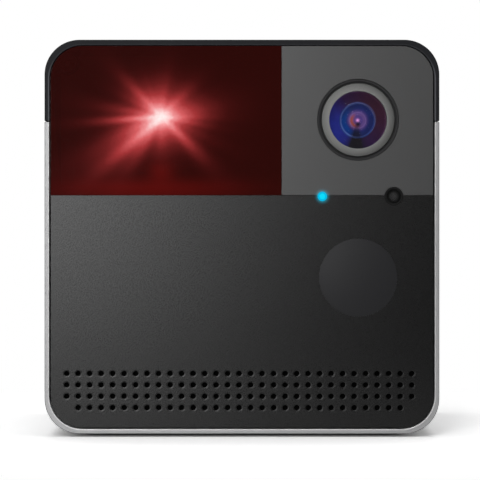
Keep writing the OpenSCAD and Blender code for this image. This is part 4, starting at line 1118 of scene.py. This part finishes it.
def make_camera_panel():
    corner = quarter((camera_high[0] - panel_r, camera_high[2] - panel_r), panel_r, 90)
    inner = seam_x + HALF_SEAM
    lower = notch(light_at, pipe_r + seat, upper_foot, True)
    lower += notch(port_at, boot_r + seat, upper_foot, True)
    outline = [(inner, upper_foot), *lower, (camera_high[0], upper_foot)]
    outline += list(reversed(corner)) + [(inner, camera_high[2])]
    obj = slab("camera_face", outline, panel_front, panel_back)
    drill_through(obj, lens_at, seal_r + seat)
    round_edges(obj, PANEL_EASE)
    return fit_evenly(obj, "camera_panel")


# Stands a flat grid up so that it faces the front
UPRIGHT = (math.pi / 2, 0.0, 0.0)


def new_tree(name, inputs):
    """A geometry tree with a geometry input and the named ones; returns it and its input sockets."""
    tree = bpy.data.node_groups.new(name, "GeometryNodeTree")
    tree.interface.new_socket("Geometry", in_out="INPUT", socket_type="NodeSocketGeometry")
    for label, kind in inputs:
        tree.interface.new_socket(label, in_out="INPUT", socket_type=kind)
    tree.interface.new_socket("Geometry", in_out="OUTPUT", socket_type="NodeSocketGeometry")
    return tree, tree.nodes.new("NodeGroupInput").outputs


def grow(obj, tree, values):
    """Runs a geometry tree on an object with these input values."""
    made = obj.modifiers.new("grow", "NODES")
    made.node_group = tree
    for item in tree.interface.items_tree:
        if item.in_out == "INPUT" and item.name in values:
            made[item.identifier] = values[item.name]
    return obj


def own_place(tree):
    return tree.nodes.new("GeometryNodeInputPosition").outputs["Position"]


def moved(tree, geometry, shift=(0.0, 0.0, 0.0), turn=(0.0, 0.0, 0.0)):
    way = {"Geometry": geometry, "Translation": shift, "Rotation": turn}
    return add_node(tree, "GeometryNodeTransform", way).outputs["Geometry"]


def points_of(tree, mesh):
    return add_node(tree, "GeometryNodeMeshToPoints", {"Mesh": mesh}).outputs["Points"]


def shape_of(tree, source):
    """The mesh of an object that is given to a tree."""
    return add_node(tree, "GeometryNodeObjectInfo", {"Object": source}).outputs["Geometry"]


def copies(tree, points, shape, **more):
    """A shape put on each point."""
    given = {"Points": points, "Instance": shape, **more}
    return add_node(tree, "GeometryNodeInstanceOnPoints", given).outputs["Instances"]


def joined(tree, pieces):
    made = tree.nodes.new("GeometryNodeJoinGeometry")
    for piece in pieces:
        tree.links.new(piece, made.inputs["Geometry"])
    return made.outputs["Geometry"]


def realized(tree, geometry):
    return add_node(tree, "GeometryNodeRealizeInstances", {"Geometry": geometry}).outputs["Geometry"]


def end_tree(tree, geometry, finish):
    """Ends a geometry tree with a plain mesh in its finish."""
    faced = add_node(tree, "GeometryNodeSetMaterial", {
        "Geometry": realized(tree, geometry), "Material": finish
    }).outputs["Geometry"]
    add_node(tree, "NodeGroupOutput", {"Geometry": faced})


def grown_piece(name, node, tree, values, turn):
    """A piece that a geometry tree makes from nothing, for a solid."""
    obj = placed_object(name, bpy.data.meshes.new(name))
    grow(obj, tree, values)
    settle(obj)
    obj.data.shade_smooth()
    return fit(crisp(obj, turn), node)


def sound_hole_tree(finish):
    """Drills a grid of holes into a panel; the lowest row lacks its first and last hole."""
    tree, given = new_tree("sound_holes", (
        ("Columns", "NodeSocketInt"), ("Rows", "NodeSocketInt"), ("Column Pitch", "NodeSocketFloat"),
        ("Row Pitch", "NodeSocketFloat"), ("Middle", "NodeSocketVector"), ("Drill", "NodeSocketObject")
    ))
    width = calc(tree, "MULTIPLY", calc(tree, "SUBTRACT", given["Columns"], 1.0), given["Column Pitch"])
    height = calc(tree, "MULTIPLY", calc(tree, "SUBTRACT", given["Rows"], 1.0), given["Row Pitch"])
    grid = add_node(tree, "GeometryNodeMeshGrid", {
        "Size X": width, "Size Y": height, "Vertices X": given["Columns"], "Vertices Y": given["Rows"]
    }).outputs["Mesh"]
    parts = parts_of(tree, own_place(tree))
    far_x = calc(tree, "DIVIDE", calc(tree, "SUBTRACT", width, given["Column Pitch"]), 2.0)
    low_z = calc(tree, "DIVIDE", calc(tree, "SUBTRACT", given["Row Pitch"], height), 2.0)
    outer = calc(tree, "GREATER_THAN", calc(tree, "ABSOLUTE", parts["X"]), far_x)
    lowest = calc(tree, "LESS_THAN", parts["Y"], low_z)
    places = add_node(tree, "GeometryNodeDeleteGeometry", {
        "Geometry": grid, "Selection": calc(tree, "MULTIPLY", outer, lowest)
    }).outputs["Geometry"]
    upright = moved(tree, points_of(tree, places), given["Middle"], UPRIGHT)
    drills = copies(tree, upright, shape_of(tree, given["Drill"]))
    drilled = add_node(tree, "GeometryNodeMeshBoolean", operation="DIFFERENCE", solver="MANIFOLD")
    plug(tree, drilled, {"Mesh 1": given["Geometry"], "Mesh 2": realized(tree, drills)})
    end_tree(tree, drilled.outputs["Mesh"], finish)
    return tree


HOLE_COLUMNS = 31
HOLE_ROWS = 4
HOLE_PITCH_X = 2.96 * MM
HOLE_PITCH_Z = 2.93 * MM
HOLE_R = 0.7 * MM
HOLE_MOUTH_R = 0.98 * MM
HOLE_SINK = 0.022 * MM
HOLES_MIDDLE = (-0.7 * MM, panel_front, shell_foot + 11.1 * MM)


def make_speaker_panel():
    top = lower_top
    right = quarter((speaker_high[0] - panel_r, speaker_low[2] + panel_r), panel_r, 0)
    left = quarter((speaker_low[0] + panel_r, speaker_low[2] + panel_r), panel_r, -90)
    upper = notch(port_at, boot_r + seat, top, False) + notch(light_at, pipe_r + seat, top, False)
    outline = right + left + [(speaker_low[0], top)] + list(reversed(upper)) + [(speaker_high[0], top)]
    obj = slab("speaker_face", outline, panel_front, panel_back)
    drill_through(obj, motion_at, motion_r + DISC_GAP)
    round_edges(obj, PANEL_EASE)
    settle(obj)
    reach = panel_back - panel_front + MM
    over = 0.03 * MM
    slope = (HOLE_MOUTH_R - HOLE_R) / HOLE_SINK
    drill_path = [
        (0.0, -over), (HOLE_MOUTH_R + slope * over, -over), (HOLE_R, HOLE_SINK), (HOLE_R, reach),
        (0.0, reach)
    ]
    drill = turned("drill", drill_path, (0.0, 0.0), steps=24)
    grow(obj, sound_hole_tree(finish_for("speaker_panel")), {
        "Columns": HOLE_COLUMNS, "Rows": HOLE_ROWS, "Column Pitch": HOLE_PITCH_X, "Row Pitch": HOLE_PITCH_Z,
        "Middle": HOLES_MIDDLE, "Drill": drill
    })
    settle(obj)
    discard(drill)
    return fit(keep_flats(obj), "speaker_panel")


def make_motion_window():
    front, back = motion_low[1], motion_high[1]
    edge = 0.03 * MM
    path = eased([(0.0, front), (motion_r, front), (motion_r, back), (0.0, back)], edge)
    return fit_turned("motion_disc", "motion_window", path, motion_at, steps=96, turn=50)


make_window()
make_camera_panel()
make_speaker_panel()
make_motion_window()


# Lens

def make_seal():
    inner = bezel_r + seat
    front, back = seal_low[1], seal_high[1]
    lip = 0.35 * MM
    ledge = 0.25 * MM
    crest = 0.42 * MM
    edge = 0.1 * MM
    path = eased([
        (inner, back), (inner, front + lip), (inner + ledge, front + lip), (inner + crest, front),
        (seal_r, front), (seal_r, back)
    ], edge, closed=True)
    return fit_turned("lens_gasket", "lens_seal", path, lens_at, steps=96, turn=50, ring=True)


def make_bezel():
    """A ring whose face starts flat at the glass and curves back towards its outer edge."""
    front, back = bezel_low[1], bezel_high[1]
    gap = 0.06 * MM
    lip = 0.05 * MM
    edge = 0.15 * MM
    sag = 0.07 * MM
    fall = 0.2 * MM
    bore = glass_r + gap
    face_in = bore + lip
    face_out = bezel_r - edge
    steps = 10
    face = []
    for i in range(steps + 1):
        share = i / steps
        face.append((face_in + (face_out - face_in) * share, front + sag * share * share))
    path = [(bore, back), (bore, front + lip), *face, (bezel_r, front + sag + fall), (bezel_r, back)]
    return fit_turned("lens_ring", "lens_bezel", path, lens_at, steps=120, turn=32, ring=True)


def make_front_glass():
    front, back = glass_low[1], glass_high[1]
    rise = 1.5 * MM
    ball = (glass_r * glass_r + rise * rise) / (2 * rise)
    hollow_r = 4.4 * MM
    hollow = 1.9 * MM
    inner_ball = (hollow_r * hollow_r + hollow * hollow) / (2 * hollow)
    bevel = 0.2 * MM
    steps = 18
    path = []
    for i in range(steps + 1):
        r = glass_r * i / steps
        path.append((r, front + ball - math.sqrt(ball * ball - r * r)))
    path += [(glass_r, back - bevel), (glass_r - bevel, back)]
    for i in range(steps + 1):
        r = hollow_r * (1 - i / steps)
        path.append((r, back - hollow + inner_ball - math.sqrt(inner_ball * inner_ball - r * r)))
    return fit_turned("front_lens", "lens_front_glass", path, lens_at, steps=96, turn=35)


make_seal()
make_bezel()
make_front_glass()


# Indicator and microphone port

def make_pipe():
    front, back = pipe_low[1], pipe_high[1]
    collar_r = pipe_high[0] - light_at[0]
    collar = 1.0 * MM
    collar_back = frame_back + collar
    swell = 0.18 * MM
    edge = 0.12 * MM
    path = [
        (0.0, front - swell), (0.6 * pipe_r, front - 0.75 * swell), (0.92 * pipe_r, front - 0.1 * swell),
        (pipe_r, front + edge), (pipe_r, frame_back), (collar_r, frame_back), (collar_r, collar_back),
        (pipe_r, collar_back), (pipe_r, back), (0.0, back)
    ]
    return fit_turned("indicator", "light_pipe", path, light_at, steps=48, turn=40)


def make_boot():
    front, back = boot_low[1], boot_high[1]
    rear_r = boot_high[0] - port_at[0]
    gauze_back = gauze_high[1]
    mouth = 0.25 * MM
    mouth_deep = 0.2 * MM
    capsule_r = 2.0 * MM
    capsule_front = back - 1.2 * MM
    duct_r = 1.1 * MM
    edge = 0.12 * MM
    path = eased([
        (gauze_r + seat, gauze_back), (gauze_r + seat, front + mouth_deep), (gauze_r + mouth, front),
        (boot_r, front), (boot_r, frame_back), (rear_r, frame_back), (rear_r, back), (capsule_r, back),
        (capsule_r, capsule_front), (duct_r, capsule_front), (duct_r, gauze_back)
    ], edge, closed=True)
    return fit_turned("port_boot", "microphone_boot", path, port_at, steps=64, turn=50, ring=True)


def gauze_tree(finish):
    """Two layers of crossed wires, trimmed to a disc."""
    tree, given = new_tree("port_gauze", (
        ("Wires", "NodeSocketInt"), ("Radius", "NodeSocketFloat"),
        ("Wire Radius", "NodeSocketFloat"), ("Middle", "NodeSocketVector")
    ))
    half = calc(tree, "SUBTRACT", given["Radius"], given["Wire Radius"])
    gaps = calc(tree, "SUBTRACT", given["Wires"], 1.0)
    step = calc(tree, "DIVIDE", calc(tree, "MULTIPLY", half, 2.0), gaps)
    line = add_node(tree, "GeometryNodeMeshLine", {
        "Count": given["Wires"], "Offset": vector_of(tree, step),
        "Start Location": vector_of(tree, calc(tree, "MULTIPLY", half, -1.0))
    }).outputs["Mesh"]
    share = calc(tree, "DIVIDE", parts_of(tree, own_place(tree))["X"], given["Radius"])
    chord = calc(tree, "SQRT", calc(tree, "SUBTRACT", 1.0, calc(tree, "MULTIPLY", share, share)))
    wire = add_node(tree, "GeometryNodeMeshCylinder", {
        "Vertices": 8, "Radius": given["Wire Radius"], "Depth": calc(tree, "MULTIPLY", given["Radius"], 2.0)
    }).outputs["Mesh"]
    upright = copies(tree, line, wire, Scale=vector_of(tree, 1.0, 1.0, chord))
    behind = vector_of(tree, y=calc(tree, "MULTIPLY", given["Wire Radius"], 1.6))
    level = moved(tree, upright, behind, (0.0, math.pi / 2, 0.0))
    end_tree(tree, moved(tree, joined(tree, (upright, level)), given["Middle"]), finish)
    return tree


def make_gauze():
    wires = 15
    wire_r = 0.07 * MM
    middle_y = (gauze_low[1] + gauze_high[1]) / 2
    return grown_piece("port_gauze", "microphone_mesh", gauze_tree(finish_for("microphone_mesh")), {
        "Wires": wires, "Radius": gauze_r - seat, "Wire Radius": wire_r,
        "Middle": (port_at[0], middle_y, port_at[1])
    }, turn=40)


make_pipe()
make_boot()
make_gauze()


# Rear, underside and fasteners

SCREW_HEAD_R = 2.35 * MM
SCREW_STEPS = 24


def screw_tree(finish):
    """Countersunk screws in the four corners of the front frame and the rear cover."""
    tree, given = new_tree("case_screws", (
        ("Across", "NodeSocketFloat"), ("Apart", "NodeSocketFloat"), ("Front", "NodeSocketVector"),
        ("Back", "NodeSocketVector"), ("Screw", "NodeSocketObject")
    ))
    corners = add_node(tree, "GeometryNodeMeshGrid", {
        "Size X": given["Across"], "Size Y": given["Apart"], "Vertices X": 2, "Vertices Y": 2
    }).outputs["Mesh"]
    points = points_of(tree, moved(tree, corners, turn=UPRIGHT))
    screw = shape_of(tree, given["Screw"])
    sides = []
    for side, turn in (("Front", 0.0), ("Back", math.pi)):
        driven = copies(tree, points, screw, Rotation=(0.0, 0.0, turn))
        sides.append(moved(tree, driven, given[side]))
    end_tree(tree, joined(tree, sides), finish)
    return tree


def screw_ring(bm, r, y, six=False):
    """One ring of a screw's points, round or six-sided."""
    verts = []
    for i in range(SCREW_STEPS):
        a = FULL_TURN * i / SCREW_STEPS
        reach = r
        if six:
            part = (a % (math.pi / 3)) - math.pi / 6
            reach = r * math.cos(math.pi / 6) / math.cos(part)
        verts.append(bm.verts.new((reach * math.cos(a), y, reach * math.sin(a))))
    return verts


def countersunk_screw():
    """One screw with a six-sided socket and a thread; its head's face is at the origin, its tip along +Y."""
    shank_r = 1.25 * MM
    root_r = 1.05 * MM
    key_r = 0.75 * MM
    key_deep = 0.6 * MM
    length = 9 * MM
    pitch = 0.5 * MM
    edge = 0.1 * MM
    key_edge = 0.04 * MM
    plain_end = 0.4 * MM
    tip = 0.2 * MM
    socket = [(key_r, key_deep), (key_r, key_edge), (key_r * 1.1, 0.0)]
    y = SCREW_HEAD_R - shank_r + edge
    rest = [(SCREW_HEAD_R - edge, 0.0), (SCREW_HEAD_R, edge), (shank_r, y)]
    while y + pitch < length - plain_end:
        rest += [(root_r, y + 0.35 * pitch), (root_r, y + 0.5 * pitch), (shank_r, y + 0.9 * pitch)]
        y += pitch
        rest.append((shank_r, y))
    rest += [(root_r, length - tip), (root_r * 0.7, length)]
    bm = bmesh.new()
    loops = [screw_ring(bm, r, depth, True) for r, depth in socket]
    loops += [screw_ring(bm, r, depth) for r, depth in rest]
    for one, two in zip(loops, loops[1:]):
        for i in range(SCREW_STEPS):
            j = (i + 1) % SCREW_STEPS
            bm.faces.new((one[i], one[j], two[j], two[i]))
    bm.faces.new(loops[0])
    bm.faces.new(list(reversed(loops[-1])))
    return piece_from(bm, "one_screw")


def make_case_screws():
    screw = countersunk_screw()
    x, z = front_middle(screws_low, screws_high)
    grown_piece("corner_screws", "case_screws", screw_tree(finish_for("case_screws")), {
        "Across": screws_high[0] - screws_low[0] - 2 * SCREW_HEAD_R,
        "Apart": screws_high[2] - screws_low[2] - 2 * SCREW_HEAD_R,
        "Front": (x, screws_low[1], z), "Back": (x, screws_high[1], z), "Screw": screw
    }, turn=35)
    discard(screw)


def make_insert():
    """Brass tripod insert, with its flange and a threaded bore, turned about Z."""
    low, high = insert_low[2], insert_high[2]
    outer = 5.0 * MM
    flange_r = insert_high[0]
    flange_low = 6.05 * MM
    flange = 1.5 * MM
    flange_high = flange_low + flange
    bevel = 0.25 * MM
    bore = 2.55 * MM
    tooth = 0.4 * MM
    pitch = 1.27 * MM
    mouth = 0.6 * MM
    mouth_deep = 0.5 * MM
    bore_deep = 8 * MM
    end = low + bore_deep
    path = [
        (outer - bevel, low), (outer, low + bevel), (outer, flange_low), (flange_r, flange_low),
        (flange_r, flange_high), (outer, flange_high), (outer, high), (0.0, high)
    ]
    inner = [(0.0, end), (bore, end)]
    z = end
    while z - pitch > low + mouth:
        inner += [(bore, z - 0.1 * pitch), (bore + tooth, z - 0.5 * pitch), (bore, z - 0.9 * pitch)]
        z -= pitch
    inner += [(bore, low + mouth_deep), (bore + mouth, low)]
    obj = turned("tripod_nut", path + inner, (0.0, 0.0), steps=64, ring=True)
    for vert in obj.data.vertices:
        x, y, z = vert.co
        vert.co = (x, -z, y)
    return fit(crisp(obj, 30), "tripod_insert")


def make_button():
    front, back = button_low[1], button_high[1]
    reset_r = 1.5 * MM
    collar_r = button_high[0] - button_at[0]
    collar = 0.8 * MM
    collar_front = cover_front - collar
    stem_r = 1.2 * MM
    dish = 0.2 * MM
    edge = 0.15 * MM
    path = [
        (0.0, back - dish), (0.6 * reset_r, back - 0.6 * dish), (0.85 * reset_r, back),
        (reset_r, back - edge), (reset_r, cover_front), (collar_r, cover_front),
        (collar_r, collar_front), (stem_r, collar_front), (stem_r, front), (0.0, front)
    ]
    return fit_turned("reset_key", "reset_button", path, button_at, steps=48, turn=40)


# Solid, name of its dressed piece and width of its rounded edges in millimetres
EASED_SOLIDS = (
    ("rear_cover", "back_cover", 0.3), ("foot_pad", "foot", 0.25), ("power_socket", "power_inlet", 0.2),
    ("laser_bracket", "laser_bracket_eased", 0.25), ("pan_yoke", "laser_yoke", 0.15),
    ("laser_cradle", "laser_collar", 0.12), ("laser_module", "laser_tube", 0.2),
    ("tilt_motor", "tilt_motor_can", 0.2), ("pan_motor", "pan_motor_can", 0.2)
)

make_case_screws()
make_insert()
make_button()
for eased_node, piece_name, ease in EASED_SOLIDS:
    fit(eased_copy(eased_node, piece_name, ease * MM), eased_node)


# The other solids keep their shape and get their finish

for node_name, solid in frame["nodes"].items():
    if solid.hide_render:
        continue
    if not solid.material_slots:
        solid.data.materials.append(None)
    for material_slot in solid.material_slots:
        material_slot.material = finish_for(node_name)


# Floor, light and camera

FLOOR_Z = -0.02 * MM
FLOOR_HALF = 3.0
FLOOR_NEAR = -0.176
FLOOR_GLOW = 0.06
FLOOR_DEPTH = 2.0
SHADOW_NEAR = 0.085
SHADOW_FAR = 0.17
KEY_AT = (-0.159, -0.87, 0.354)
KEY_WIDTH = 0.226
KEY_HEIGHT = 0.69
KEY_POWER = 4.1
TOP_AT = (0.0, 0.1, 1.2)
TOP_SIZE = 0.8
TOP_POWER = 5.0
ROOM_LIGHT = 0.36
ROOM_LEAN = 0.6
ROOM_FRONT = (-0.75, 0.02)
ROOM_BACK = (0.25, 0.95)
CAMERA_LENS = 200
CAMERA_SENSOR = 36
CAMERA_BACK = 0.686
CAMERA_X = -0.5 * MM
CAMERA_Z = 50.67 * MM


def shown_directly(tree):
    """1 where the camera looks straight at something or through glass, and 0 for other light."""
    path = tree.nodes.new("ShaderNodeLightPath").outputs
    return calc(tree, "MAXIMUM", path["Is Camera Ray"], path["Is Transmission Ray"])


def floor_paper(name):
    """White paper with a shadow near the object, fading to plain white further off."""
    made = bpy.data.materials.new(name)
    tree = cleared_tree(made)
    shown = shown_directly(tree)
    paper = noise(tree, object_place(tree), 4 * MM, 3.0)
    tone = ramp(tree, paper, [(0.3, grey(0.72)), (0.7, grey(0.75))])
    depth = calc(tree, "ADD", calc(tree, "MULTIPLY", shown, FLOOR_DEPTH - 1.0), 1.0)
    shade = add_node(tree, "ShaderNodeVectorMath", {0: tone, "Scale": depth}, operation="SCALE")
    matt = add_node(tree, "ShaderNodeBsdfDiffuse", {"Color": shade.outputs["Vector"]}).outputs["BSDF"]
    glow = add_node(tree, "ShaderNodeEmission", {
        "Color": grey(1.0), "Strength": calc(tree, "MULTIPLY", shown, FLOOR_GLOW)
    }).outputs["Emission"]
    lit = add_node(tree, "ShaderNodeAddShader", {0: matt, 1: glow}).outputs["Shader"]
    white = add_node(tree, "ShaderNodeEmission", {"Color": grey(1.0), "Strength": 1.0}).outputs["Emission"]
    reach = vector_calc(tree, "LENGTH", object_place(tree))
    far = calc(tree, "MULTIPLY", spread(tree, reach, SHADOW_NEAR, SHADOW_FAR, 0.0, 1.0), shown)
    both = add_node(tree, "ShaderNodeMixShader", {0: far, 1: lit, 2: white}).outputs["Shader"]
    add_node(tree, "ShaderNodeOutputMaterial", {"Surface": both})
    return made


def make_floor():
    left, right = -FLOOR_HALF, FLOOR_HALF
    outline = ((left, FLOOR_NEAR), (right, FLOOR_NEAR), (right, FLOOR_HALF), (left, FLOOR_HALF))
    bm = bmesh.new()
    bm.faces.new([bm.verts.new((x, y, FLOOR_Z)) for x, y in outline])
    obj = object_from(bm, "floor")
    obj.data.materials.append(floor_paper("white_floor"))


def make_lamp(name, place, aim, width, height, power):
    data = bpy.data.lights.new(name, "AREA")
    data.shape = "RECTANGLE"
    data.size = width
    data.size_y = height
    data.energy = power
    obj = placed_object(name, data)
    obj.location = place
    obj.rotation_mode = "QUATERNION"
    obj.rotation_quaternion = (Vector(aim) - Vector(place)).to_track_quat("-Z", "Y")


def make_world():
    """White to the camera, even for soft light, and darker in front of the object for reflections."""
    world = bpy.data.worlds.new("studio")
    bpy.context.scene.world = world
    tree = cleared_tree(world)
    glossy = tree.nodes.new("ShaderNodeLightPath").outputs["Is Glossy Ray"]
    parts = parts_of(tree, tree.nodes.new("ShaderNodeTexCoord").outputs["Generated"])
    lean = sum_of(tree, parts["Y"], 1.0, parts["Z"], ROOM_LEAN)
    mirrored = spread(tree, lean, ROOM_FRONT[0], ROOM_BACK[0], ROOM_FRONT[1], ROOM_BACK[1])
    soft = value_mix(tree, glossy, ROOM_LIGHT, mirrored)
    level = value_mix(tree, shown_directly(tree), soft, 1.0)
    sky = add_node(tree, "ShaderNodeBackground", {"Color": grey(1.0), "Strength": level})
    add_node(tree, "ShaderNodeOutputWorld", {"Surface": sky.outputs["Background"]})


def make_camera():
    data = bpy.data.cameras.new("camera")
    data.lens = CAMERA_LENS
    data.sensor_width = CAMERA_SENSOR
    obj = placed_object("camera", data)
    obj.location = (CAMERA_X, rim_front - CAMERA_BACK, CAMERA_Z)
    obj.rotation_euler = (math.pi / 2, 0.0, 0.0)
    bpy.context.scene.camera = obj


make_floor()
make_world()
make_lamp("key_softbox", KEY_AT, (KEY_AT[0], 0.0, KEY_AT[2]), KEY_WIDTH, KEY_HEIGHT, KEY_POWER)
make_lamp("top_softbox", TOP_AT, (0.0, 0.0, 0.0), TOP_SIZE, TOP_SIZE, TOP_POWER)
make_camera()
bpy.context.scene.view_settings.view_transform = "Standard"
